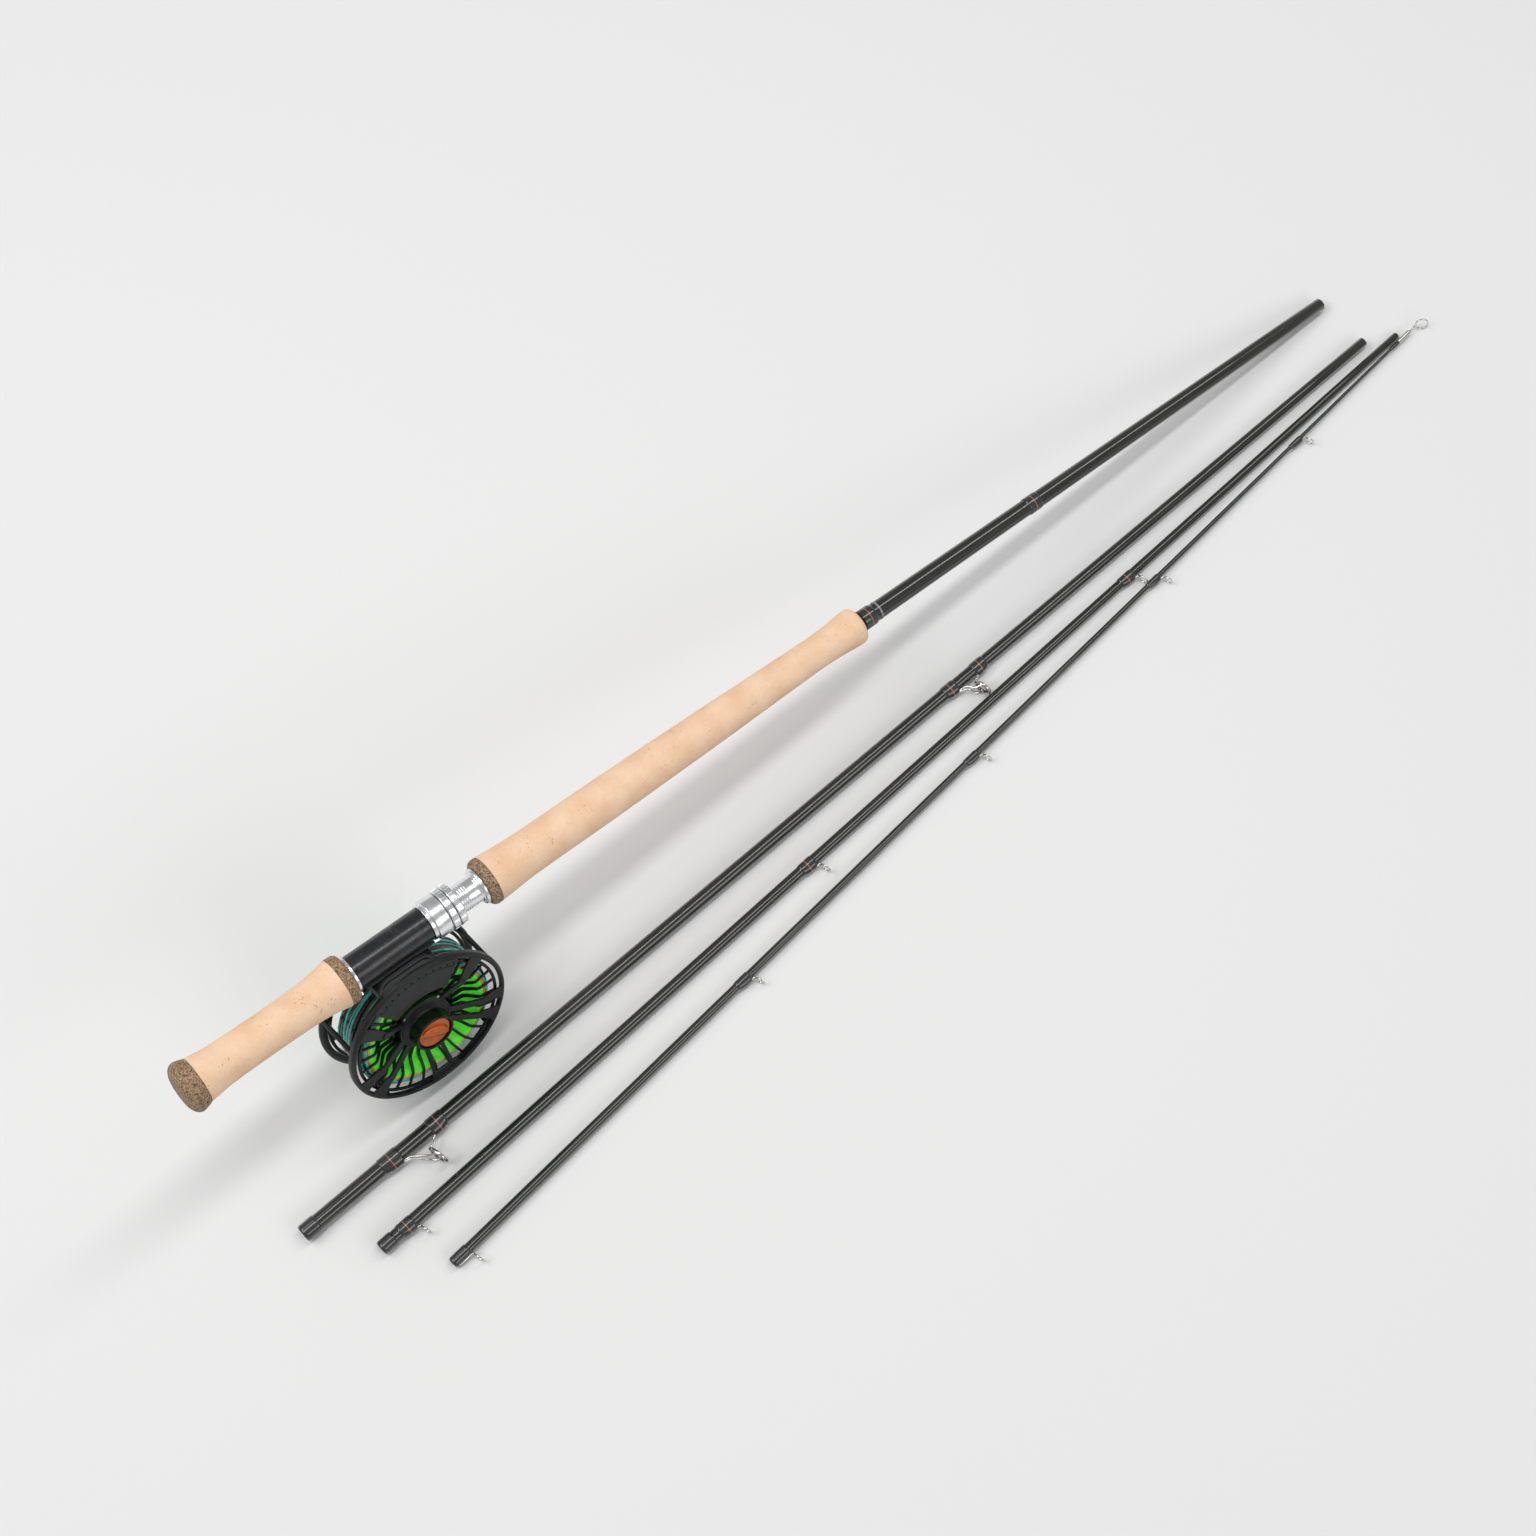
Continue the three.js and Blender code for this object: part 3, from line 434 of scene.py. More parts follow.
# ---- Mesh helpers ----
def softened(profile, radius=0.4, steps=3, closed=True):
    """Rounds the corners of a profile; a point with a third number has its own radius."""
    out = []
    count = len(profile)
    for i, corner in enumerate(profile):
        here = Vector(corner[:2])
        own = corner[2] if len(corner) > 2 else radius
        if (not closed and i in (0, count - 1)) or own <= 0 or here.y < 1e-6:
            out.append(tuple(here))
            continue
        before = Vector(profile[i - 1][:2])
        after = Vector(profile[(i + 1) % count][:2])
        to_before, to_after = before - here, after - here
        reach = min(own, to_before.length * 0.45, to_after.length * 0.45)
        start = here + to_before.normalized() * reach
        end = here + to_after.normalized() * reach
        for k in range(steps + 1):
            t = k / steps
            out.append(tuple(start.lerp(here, t).lerp(here.lerp(end, t), t)))
    return out


def lathe(profile, sides=64, axis="X", closed=True):
    """Turns a profile of (along, radius) about an axis. Radius 0 closes on the axis."""
    verts, faces, rings = [], [], []
    for along, radius in profile:
        if radius < 1e-6:
            rings.append([len(verts)])
            points = [(along, 0.0, 0.0)]
        else:
            rings.append(list(range(len(verts), len(verts) + sides)))
            points = []
            for k in range(sides):
                angle = 2 * math.pi * k / sides
                points.append((along, radius * math.cos(angle), radius * math.sin(angle)))
        if axis == "Y":
            points = [(b, a, c) for a, b, c in points]
        elif axis == "Z":
            points = [(b, c, a) for a, b, c in points]
        verts.extend(points)
    pairs = list(zip(rings, rings[1:]))
    if closed:
        pairs.append((rings[-1], rings[0]))
    for first, second in pairs:
        if len(first) == 1 and len(second) == 1:
            continue
        for k in range(sides):
            j = (k + 1) % sides
            corners = [first[k % len(first)], second[k % len(second)], second[j % len(second)],
                       first[j % len(first)]]
            unique = list(dict.fromkeys(corners))
            faces.append(tuple(unique))
    return verts, faces


def bridged(rings, closed_ring=True, closed_path=False, caps=True):
    """Joins rings of points of equal count into one surface."""
    verts = [tuple(point) for ring in rings for point in ring]
    size = len(rings[0])
    faces = []
    last = len(rings) if closed_path else len(rings) - 1
    for i in range(last):
        base, up = i * size, ((i + 1) % len(rings)) * size
        for k in range(size if closed_ring else size - 1):
            j = (k + 1) % size
            faces.append((base + k, up + k, up + j, base + j))
    if caps and not closed_path:
        faces.append(tuple(range(size)))
        faces.append(tuple(range(len(verts) - size, len(verts))))
    return verts, faces


def smooth_path(points, per_span=6, closed=False):
    """A Catmull-Rom curve through the points."""
    points = [Vector(p) for p in points]
    count = len(points)
    spans = count if closed else count - 1
    out = []
    for i in range(spans):
        if closed:
            a, b, c, d = (points[(i + k) % count] for k in (-1, 0, 1, 2))
        else:
            a, b = points[max(i - 1, 0)], points[i]
            c, d = points[i + 1], points[min(i + 2, count - 1)]
        for k in range(per_span):
            t = k / per_span
            out.append(0.5 * (2 * b + (c - a) * t + (2 * a - 5 * b + 4 * c - d) * t * t
                              + (3 * b - 3 * c + d - a) * t ** 3))
    if not closed:
        out.append(points[-1])
    return out


def tube(points, radius, sides=10, closed=False, flat=1.0):
    """A round wire along points; radius may be a number or one per point, flat thins it in z."""
    points = [Vector(p) for p in points]
    count = len(points)
    radii = radius if isinstance(radius, (list, tuple)) else [radius] * count
    rings, normal = [], None
    for i, point in enumerate(points):
        ahead = points[(i + 1) % count] if closed or i < count - 1 else point
        behind = points[i - 1] if closed or i > 0 else point
        along = (ahead - behind).normalized()
        if normal is None:
            guide = Vector((0, 0, 1)) if abs(along.z) < 0.9 else Vector((0, 1, 0))
            normal = (guide - along * guide.dot(along)).normalized()
        else:
            normal = (normal - along * normal.dot(along)).normalized()
        other = along.cross(normal)
        ring = []
        for k in range(sides):
            angle = 2 * math.pi * k / sides
            ring.append(point + normal * (radii[i] * flat * math.cos(angle))
                        + other * (radii[i] * math.sin(angle)))
        rings.append(ring)
    return bridged(rings, closed_path=closed)


def bar(path, across, width, thick, round_=0.35):
    """A bar with a rounded rectangular section. across is its width's direction; width and
    thick may be one per point."""
    path = [Vector(p) for p in path]
    across = Vector(across).normalized()
    count = len(path)
    widths = width if isinstance(width, (list, tuple)) else [width] * count
    thicks = thick if isinstance(thick, (list, tuple)) else [thick] * count
    rings = []
    for i, point in enumerate(path):
        ahead = path[min(i + 1, count - 1)]
        behind = path[max(i - 1, 0)]
        along = (ahead - behind).normalized()
        side = (across - along * across.dot(along)).normalized()
        up = along.cross(side)
        w, t = widths[i] / 2, thicks[i] / 2
        r = min(round_, w * 0.9, t * 0.9)
        ring = []
        for sw, st in ((1, 1), (-1, 1), (-1, -1), (1, -1)):
            centre = point + side * (sw * (w - r)) + up * (st * (t - r))
            turns = (0, 45, 90) if sw * st > 0 else (90, 45, 0)
            for turn in turns:
                a = math.radians(turn)
                ring.append(centre + side * (sw * r * math.cos(a)) + up * (st * r * math.sin(a)))
        rings.append(ring)
    return bridged(rings)


def torus(outer, wire, sides=14, segments=56, flat=1.0):
    """A ring about X with that outer radius; flat stretches its section along X."""
    rings = []
    for i in range(segments):
        turn = 2 * math.pi * i / segments
        ring = []
        for k in range(sides):
            angle = 2 * math.pi * k / sides
            r = outer - wire + wire * math.cos(angle)
            ring.append(Vector((wire * flat * math.sin(angle), r * math.cos(turn), r * math.sin(turn))))
        rings.append(ring)
    return bridged(rings, closed_path=True)


def moved(part, matrix):
    verts, faces = part
    return [tuple(matrix @ Vector(v)) for v in verts], faces


def merged(*parts):
    verts, faces = [], []
    for part_verts, part_faces in parts:
        base = len(verts)
        verts.extend(part_verts)
        faces.extend(tuple(base + i for i in face) for face in part_faces)
    return verts, faces


def finish_mesh(mesh, sharp=42.0):
    """Makes faces point outwards and shades them smooth, with an edge where they turn sharply."""
    work = bmesh.new()
    work.from_mesh(mesh)
    bmesh.ops.remove_doubles(work, verts=work.verts, dist=1e-7)
    bmesh.ops.recalc_face_normals(work, faces=work.faces)
    for face in work.faces:
        face.smooth = True
    for edge in work.edges:
        turn = edge.calc_face_angle(0.0) if len(edge.link_faces) == 2 else math.pi
        edge.smooth = turn < math.radians(sharp)
    work.to_mesh(mesh)
    work.free()


def raw(name, part, place=None, sharp=42.0):
    """An object from millimetre geometry."""
    verts, faces = part
    mesh = bpy.data.meshes.new(name)
    mesh.from_pydata([tuple(c * MM for c in v) for v in verts], [], faces)
    obj = bpy.data.objects.new(name, mesh)
    bpy.context.scene.collection.objects.link(obj)
    if place is not None:
        obj.matrix_world = place
    finish_mesh(mesh, sharp)
    return obj


def bake_modifiers(obj):
    """Replaces the object's mesh by its mesh with modifiers."""
    bpy.context.view_layer.update()
    graph = bpy.context.evaluated_depsgraph_get()
    mesh = bpy.data.meshes.new_from_object(obj.evaluated_get(graph))
    obj.modifiers.clear()
    obj.data = mesh


def boolean(obj, part, operation="DIFFERENCE", sharp=38.0):
    """Cuts the part from the object, or adds it. The part is in the object's own frame."""
    tool = raw("tool", part, obj.matrix_world.copy())
    modifier = obj.modifiers.new("cut", "BOOLEAN")
    modifier.operation = operation
    modifier.solver = "EXACT"
    modifier.use_self = operation == "UNION"
    modifier.object = tool
    bake_modifiers(obj)
    bpy.data.objects.remove(tool)
    finish_mesh(obj.data, sharp)
    return obj


def bevelled(obj, width, segments=2, angle=35.0):
    modifier = obj.modifiers.new("bevel", "BEVEL")
    modifier.width = width * MM
    modifier.segments = segments
    modifier.limit_method = "ANGLE"
    modifier.angle_limit = math.radians(angle)
    modifier.harden_normals = False
    bake_modifiers(obj)
    finish_mesh(obj.data, 50.0)
    return obj


def plate(outline, y0, y1):
    """A flat plate across the reel's axis: an outline of (x, z) from y0 to y1."""
    count = len(outline)
    verts = [(x, y, z) for y in (y0, y1) for x, z in outline]
    faces = [tuple(range(count)), tuple(range(count, 2 * count))]
    faces += [(k, (k + 1) % count, count + (k + 1) % count, count + k) for k in range(count)]
    return verts, faces


def polar(radius, degrees):
    """(x, z) at that angle from the reel's top, positive towards the rod's tip."""
    angle = math.radians(degrees)
    return radius * math.sin(angle), radius * math.cos(angle)


def arc(radius, start, end, count=24):
    return [polar(radius, start + (end - start) * k / count) for k in range(count + 1)]


def show(obj, body, material, slot, *nodes):
    """Gives the piece its look and body, and hides the CAD nodes that it stands for."""
    obj.data.materials.clear()
    obj.data.materials.append(material)
    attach(obj, body)
    if nodes:
        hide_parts(*nodes)
    return obj


def turned(name, profile, sides, place, body, material, slot, *nodes, axis="X", closed=True):
    """A lathed piece, shown."""
    return show(raw(name, lathe(profile, sides, axis, closed), place), body, material, slot, *nodes)


def reel_turned(name, profile, sides, body, material, slot, *nodes, closed=True):
    """A piece lathed about the reel's axis, shown."""
    return turned(name, profile, sides, REEL, body, material, slot, *nodes, axis="Y", closed=closed)


def spun(part, degrees, axis="Y"):
    return moved(part, Matrix.Rotation(math.radians(degrees), 4, axis))


def slid(part, x=0.0, y=0.0, z=0.0):
    return moved(part, Matrix.Translation((x, y, z)))


CORK = cork_look()
BURL = burl_look()
BLANK = blank_look()
THREAD = thread_look()
THREAD_PLAIN = thread_look("thread_plain", line=False)
BRIGHT = metal_look("aluminium_turned", (0.86, 0.87, 0.88), 0.26)
STEEL = metal_look("steel_brushed", (0.60, 0.60, 0.61), 0.3, turned="Y")
CHROME = metal_look("guide_chrome", (0.66, 0.65, 0.63), 0.1, turned=None)
INSERT = metal_look("guide_insert", (0.22, 0.21, 0.20), 0.12, turned=None)
BLACK = anodised_look()
SPOOL_BLACK = anodised_look("anodised_spool", (0.0022, 0.0023, 0.0028), 0.24, 0.32)
# painted shade: the collar gets a glossier, darker copy of the black anodising; its darker colour stands in
# for the shade on the collar's top
COLLAR_SHADED_BLACK = anodised_look("anodised_collar_painted_shade", (0.0022, 0.0023, 0.0027), 0.3, 0.3)
ORANGE = orange_look()
SEAT = seat_look()
GREEN = backing_look()
AMBER = line_look("line_orange", (0.90, 0.19, 0.01), (0.95, 0.33, 0.04))
TEAL = line_look("line_teal", (0.01, 0.46, 0.38), (0.05, 0.74, 0.62))
DARK_LINE = line_look("line_dark", (0.004, 0.005, 0.004), (0.016, 0.020, 0.014), 0.25, 0.6)
DISC = disc_look()
EPOXY = Look("varnish_grey", (0.22, 0.23, 0.24), 0.12, coat=1.0).material

add_camera()
add_studio()


# ---- Butt section ----
def build_grips():
    cap = softened([(-139, 0), (-139, 9.4, 2.0), (-137.3, 13.4, 3.0), (-134.2, 15.7, 2.2),
                    (-130.5, 15.1, 3), (-127.0, 13.75, 0.15), (-127.0, 0)], closed=False, steps=6)
    turned("butt_cap_burl", cap, 80, BUTT, "butt", BURL, "burl_cork", "butt_cap", closed=False)

    lower = [(-126.9, 13.7, 0.1), (-122, 13.25, 4), (-115, 12.4, 4), (-105, 12.05, 5), (-90, 11.9, 6),
             (-65, 11.9, 6), (-52, 12.4, 6), (-44, 13.3, 4), (-38.5, 14.45, 3), (-36.2, 14.8, 0.1)]
    inner = [(-36.2, 6.4, 0), (-126.9, 6.4, 0)]
    turned("lower_grip_cork", softened(lower + inner, steps=6), 96, BUTT, "butt", CORK, "cork",
           "lower_grip")

    ring = softened([(-36.1, 14.8, 0.1), (-31.4, 14.85, 1.6), (-29.2, 13.4, 0.8), (-29.3, 6.4, 0),
                     (-36.1, 6.4, 0)], steps=6)
    obj = raw("burl_ring_lower", lathe(ring, 96), BUTT)
    box = lathe([(-34.3, 13.95), (-28, 13.95), (-28, 5.0), (-34.3, 5.0)], 96)
    wedge = plate([(-14, -20), (14, -20), (9.4, -3.0), (-9.4, -3.0)], -35, -27)
    wedge = moved(wedge, Matrix.Rotation(math.radians(-90), 4, "Z"))
    tool = raw("tool", box)
    boolean(tool, wedge, "INTERSECT")
    verts = [tuple(c / MM for c in v.co) for v in tool.data.vertices]
    faces = [tuple(p.vertices) for p in tool.data.polygons]
    bpy.data.objects.remove(tool)
    boolean(obj, (verts, faces))
    show(obj, "butt", BURL, "burl_cork", "lower_grip_ring")

    ring = softened([(60.3, 11.9, 0.6), (61.6, 13.7, 1.2), (63.4, 14.45, 1.0), (66, 14.4, 0.1),
                     (66, 6.4, 0), (60.3, 6.4, 0)], steps=5)
    turned("burl_ring_upper", ring, 96, BUTT, "butt", BURL, "burl_cork", "foregrip_ring")
    fore = [(66.2, 14.35, 0.1), (72, 14.05, 3), (78, 13.6, 4), (88, 13, 5), (100, 12.78, 6),
            (143, 12.7, 10), (177, 12.3, 10), (221, 11.65, 10), (266, 10.7, 10), (299, 10, 8),
            (310, 10.05, 5), (321, 10.5, 5), (331, 11.5, 2.5), (335, 11.65, 1.5), (337.2, 10.9, 1),
            (338, 9.4, 0.4), (338, 6.4, 0), (66.2, 6.4, 0)]
    turned("foregrip_cork", softened(fore, steps=6), 96, BUTT, "butt", CORK, "cork", "foregrip")


def blank_radius(x):
    return 6.1 - 0.35 * (x + 127) / 465 if x < 338 else 5.75 - 1.6 * (x - 338) / 391


def build_butt_blank():
    profile = [(-126, 6.1), (338, 5.75)]
    profile += [(338 + 39.1 * k, blank_radius(338 + 39.1 * k)) for k in range(1, 10)]
    profile += [(728.4, 4.17), (729, 3.9), (729, 3.4), (728.4, 3.3), (600, 3.5), (-126, 4.9)]
    turned("blank_butt", profile, 48, BUTT, "butt", BLANK, "carbon", "butt_blank")

    check = softened([(338.3, 6.2, 0), (338.3, 7.9, 0.3), (339.3, 7.9, 0.3), (339.9, 7.1, 0.3),
                      (339.9, 6.2, 0)])
    turned("winding_check_ring", check, 64, BUTT, "butt", BLACK, "bright_aluminium", "winding_check")
    # the wrap above the grip, with its copper line and a thin varnished ring beyond it
    at = 345.5
    wrap = softened([(-4.9, 5.9, 0), (-4.9, 6.5, 0.3), (3.3, 6.45, 0.8), (4.6, 5.85, 0.5), (4.6, 5.78, 0)])
    turned("grip_wrap", wrap, 64, shifted(BUTT, x=at), "butt", THREAD, "thread", "butt_wrap")
    ring = softened([(352.6, 5.72, 0), (352.6, 6.0, 0.3), (353.8, 6.0, 0.3), (353.8, 5.7, 0)])
    turned("varnish_ring_grip", ring, 64, BUTT, "butt", EPOXY, "thread")
    # the trim wrap part way up
    at = 478.0
    r = blank_radius(at)
    wrap = softened([(-5, r - 0.05, 0), (-4.4, r + 0.42, 0.8), (4.4, r + 0.4, 0.8), (5, r - 0.08, 0)])
    turned("trim_wrap", wrap, 64, shifted(BUTT, x=at), "butt", THREAD, "thread")


def ring_band(inner, outer, x0, x1, half_angle, sides=28):
    """Part of a ring about the rod's axis, on the reel's side."""
    rings = []
    for x in (x0, x1):
        ring = []
        for radius, sign in ((outer, 1), (inner, -1)):
            for k in range(sides + 1):
                angle = math.radians(half_angle) * (2 * k / sides - 1) * sign
                ring.append(Vector((x, radius * math.sin(angle), -radius * math.cos(angle))))
        rings.append(ring)
    return bridged(rings)


def build_seat():
    fixed = raw("seat_hood_fixed", lathe(softened([
        (-29, 10.6, 0.2), (-29, 11.4, 0.35), (-27.2, 11.4, 0.35), (-27, 6.5, 0), (-29, 6.5, 0)]), 96), BUTT)
    boolean(fixed, ring_band(8.2, 13.6, -34, -27, 38), "UNION")
    boolean(fixed, ring_band(9.6, 12.4, -32.6, -26, 32))
    show(fixed, "butt", BRIGHT, "bright_aluminium", "seat_fixed_hood")

    body = softened([(-26.8, 10.3, 0.2), (22, 10.3, 0.2), (22, 6.4, 0), (-26.8, 6.4, 0)])
    turned("seat_marbled_body", body, 96, BUTT, "butt", SEAT, "seat_black", "seat_body")

    # the barrel's thread is a fine helix, from under the hood to the plain end
    pitch, sides, depth = 1.5, 72, 0.28
    start, end = 24.0, 51.0
    rings = []
    steps = int((end - start) / pitch * 8)
    for i in range(steps + 1):
        x = start + (end - start) * i / steps
        fade = min(1.0, (x - start) / 2, (end - x) / 2)
        ring = []
        for k in range(sides):
            angle = 2 * math.pi * k / sides
            wave = 0.5 + 0.5 * math.cos(2 * math.pi * (x / pitch - k / sides))
            r = 8.32 - depth * fade * wave
            ring.append(Vector((x, r * math.cos(angle), r * math.sin(angle))))
        rings.append(ring)
    def plain(x, r):
        return [Vector((x, r * math.cos(2 * math.pi * k / sides), r * math.sin(2 * math.pi * k / sides)))
                for k in range(sides)]
    before = [plain(22.3, 6.4), plain(22.3, 8.2), plain(22.6, 8.32)]
    after = [plain(x, r) for x, r in softened([
        (51.4, 8.32, 0), (56.6, 8.32, 0.6), (57.3, 9.2, 0.3), (57.9, 9.3, 0.2), (58.0, 10.9, 0.3),
        (60, 11.35, 0.5), (60, 6.4, 0)], closed=False)]
    show(raw("seat_barrel_threaded", bridged(before + rings + after, closed_path=True), BUTT),
         "butt", BRIGHT, "bright_aluminium", "seat_barrel")

    hood = raw("hood_sliding", lathe(softened([
        (22.3, 8.7, 0), (22.3, 11.2, 0.3), (24.5, 11.2, 0.25), (24.9, 12.3, 0.45), (33.5, 12.3, 0.45),
        (33.5, 8.7, 0)]), 96), BUTT)
    boolean(hood, ring_band(9.4, 13.5, 22.35, 33.5, 31), "UNION")
    boolean(hood, ring_band(10.0, 12.6, 21, 32, 29))
    show(hood, "hood", BRIGHT, "bright_aluminium", "sliding_hood")

    for name, start, node in (("nut_lock", 33.9, "lock_nut"), ("nut_jam", 38.8, "jam_nut")):
        nut = raw(name, lathe(softened([
            (start, 8.7, 0), (start, 12.1, 0.5), (start + 0.45, 12.75, 0.5), (start + 4.15, 12.75, 0.5),
            (start + 4.6, 12.1, 0.5), (start + 4.6, 8.7, 0)]), 120), BUTT)
        grips = []
        for k in range(20):
            flute = tube([(start + 0.9, 0, 0), (start + 3.7, 0, 0)], 0.55, 8)
            turn = Matrix.Rotation(2 * math.pi * (k + 0.5) / 20, 4, "X")
            grips.append(moved(flute, turn @ Matrix.Translation((0, 0, 13.0))))
        boolean(nut, merged(*grips))
        show(nut, node, BRIGHT, "bright_aluminium", node)


# ---- Reel ----
KNOB_SPAN = 9.5
RIM_FACE = -17.9
PLATE_FACE = -18.3
PLATE_BACK = -16.8
SIDES = ((-1, "left"), (1, "right"))


def strut(start, end, width, risen=0.9):
    """A strut of the drag-side face, rising from the hub to the face between two (x, z) points."""
    (x0, z0), (x1, z1) = start, end
    path = []
    for t in [k / 12 * risen for k in range(13)] + [risen + (1 - risen) * k / 3 for k in (1, 2, 3)]:
        y = -12.2 + (-17.65 + 12.2) * min(1.0, t / risen)
        path.append(Vector((x0 + (x1 - x0) * t, y, z0 + (z1 - z0) * t)))
    return bar(path, Vector((z1 - z0, 0, x0 - x1)), width, 2.1, 0.5)


def face_plate(name, outline, y0=PLATE_FACE, y1=PLATE_BACK, edge=0.4):
    obj = bevelled(raw(name, plate(outline, y0, y1), REEL), edge)
    return show(obj, "butt", BLACK, "black_anodised")


def build_cage():
    rim = [(RIM_FACE, 50.7, 0.3), (-16.6, 52.0, 0.35), (-13.7, 52.0, 0.3), (-13.6, 50.2, 0.3),
           (-15.4, 49.0, 0.3), (-17.4, 48.9, 0.2), (RIM_FACE, 49.4, 0.2)]
    front = raw("cage_rim_front", lathe(softened(rim, steps=3), 192, "Y"), REEL)
    notches = []
    for first, last in ((62, 108), (-160, -104)):         # fine grip notches in the rim's bevel
        for k in range(first, last, 2):
            notch = tube([(0, -18.1, 51.0), (0, -16.0, 52.6)], 0.42, 8)
            notches.append(spun(notch, k))
    boolean(front, merged(*notches))
    show(front, "butt", BLACK, "black_anodised", "reel_frame")

    rear_profile = [(13.8, 50.4, 0.3), (14.6, 52, 0.4), (16.4, 52, 0.4), (17.5, 50.8, 0.4), (17.5, 48.2, 0.3),
                    (16.8, 47.6, 0.2), (13.8, 47.6, 0.2)]
    reel_turned("cage_rim_rear", softened(rear_profile), 160, "butt", BLACK, "black_anodised")

    hub = softened([(-13.4, 17, 0.4), (-10.9, 17, 0.4), (-10.9, 7, 0), (-13.4, 7, 0)])
    reel_turned("cage_hub", hub, 96, "butt", BLACK, "black_anodised")
    shoulder = [(-6.5, 19.5), (6.5, 19.5), (13, 15.5), (14, 9), (9, 10), (0, 13.4), (-9, 10), (-14, 9),
                (-13, 15.5)]
    face_plate("cage_shoulder", shoulder, -13.8, -11.2)
    screw = softened([(-14.1, 0), (-14.1, 0.9, 0.2), (-13.7, 0.9, 0), (-13.7, 0)], closed=False)
    for side, label in SIDES:
        head = slid(lathe(screw, 20, "Y", closed=False), side * 11.4, 0, 15.3)
        show(raw("cage_screw_" + label, head, REEL), "butt", STEEL, "steel")

    # three pairs of arms: each dives from the face to the hub, and broadens at the rim
    ends = {
        "top": (46, 54, 34, [(50.2, 45.5), (43, 45.5), (31.5, 50), (34.5, 58.5), (44, 57), (50.2, 57)]),
        "middle": (102, 104.3, 38, [(50.2, 98.5), (44, 99.4), (36.3, 100.7), (36.3, 107.6), (44, 108.0),
                                    (50.2, 109.5)]),
        "low": (126, 121.5, 38, [(50.2, 116), (44, 117), (36.3, 117.7), (36.3, 125), (44, 126.5),
                                 (50.2, 130)]),
    }
    for name, (at_hub, at_rim, reach, corners) in ends.items():
        for side, label in SIDES:
            arm = strut(polar(15.5, side * at_hub), polar(reach, side * at_rim), 4.0)
            show(raw(f"cage_arm_{name}_{label}", arm, REEL), "butt", BLACK, "black_anodised")
            face_plate(f"cage_end_{name}_{label}", [polar(r, side * a) for r, a in corners])

    # the solid top, with twelve blind holes in the rim above it
    top = arc(50.2, -34.5, 34.5, 40) + arc(30, 34.5, -34.5, 28)
    top_plate = face_plate("cage_top_plate", top)
    holes = []
    for k in range(12):
        x, z = polar(46.7, -32 + 64 * k / 11)
        cup = lathe([(-19, 0), (-19, 0.72), (-17.3, 0.6), (-17.3, 0)], 16, "Y", closed=False)
        holes.append(slid(cup, x, 0, z))
    boolean(top_plate, merged(*holes))
    channel = [(-18.6, 44.9), (-18.6, 48.9), (-18.05, 48.7), (-18.05, 45.1)]
    boolean(top_plate, lathe(channel, 192, "Y"))

    # two rails below the hub and the plate that joins them to the rim
    for side, label in SIDES:
        rail = strut((side * 4.4, -15), (side * 5.9, -41.5), 2.4, 0.8)
        show(raw("cage_rail_" + label, rail, REEL), "butt", BLACK, "black_anodised")
    face_plate("cage_plate_bottom", [(-6.9, -40.6), (9.6, -40.6), (12.9, -48.7), (6, -49.9), (0, -50.2),
                                     (-5, -49.9), (-9.2, -49.3)])

    for name, angle in (("a", 68), ("b", 135), ("c", -68), ("d", -135)):
        x, z = polar(50.3, angle)
        post = lathe(softened([(-15.4, 0), (-15.4, 1.7, 0), (-13.6, 1.5, 1), (13.6, 1.5, 1), (15.2, 1.8, 0),
                               (15.2, 0)], closed=False), 32, "Y", closed=False)
        show(raw("cage_pillar_" + name, slid(post, x, 0, z), REEL), "butt", BLACK, "black_anodised")


def build_foot():
    # the bridge between the rims, with cut-back corners that meet the seat
    def slab(z, x0, x1, half, corner):
        return [Vector((x, y, z)) for x, y in (
            (x0 + corner, -half), (x1 - corner, -half), (x1, -half + corner), (x1, half - corner),
            (x1 - corner, half), (x0 + corner, half), (x0, half - corner), (x0, -half + corner))]
    rings = [slab(47.9, -22, 18, 15.6, 1.0), slab(50.6, -21, 17, 15.4, 1.2), slab(52.6, -17, 13, 12.8, 3.0),
             slab(53.7, -14, 10, 10.2, 3.0)]
    block = raw("foot_bridge", bridged(rings), REEL)
    cutter = slid(tube([(-60, 0, 0), (60, 0, 0)], 12.6, 72), z=REEL_DROP)
    boolean(block, cutter)
    bevelled(block, 0.3)
    show(block, "butt", BLACK, "black_anodised")

    # facets that carry the drag-side face up to the bridge
    face = [(-21, 46.5), (17, 46.5), (14.5, 51.2), (9, 53.4), (-13, 53.4), (-18.5, 51.2)]
    cheek = raw("foot_cheek", plate(face, -17.4, -12.4), REEL)
    for vertex in cheek.data.vertices:
        if vertex.co.z > 50 * MM:
            share = (vertex.co.z / MM - 46.5) / 6.9
            vertex.co.y += (3.4 * share if vertex.co.y < -15 * MM else 0.0) * MM
    boolean(cheek, cutter)
    bevelled(cheek, 0.3)
    show(cheek, "butt", BLACK, "black_anodised")

    foot = raw("foot_curved", ring_band(10.5, 12.3, -24, 20, 45), BUTT)
    boolean(foot, ring_band(10.5, 11.7, -32, 31, 28), "UNION")
    bevelled(foot, 0.25)
    show(foot, "butt", BLACK, "black_anodised", "reel_foot")


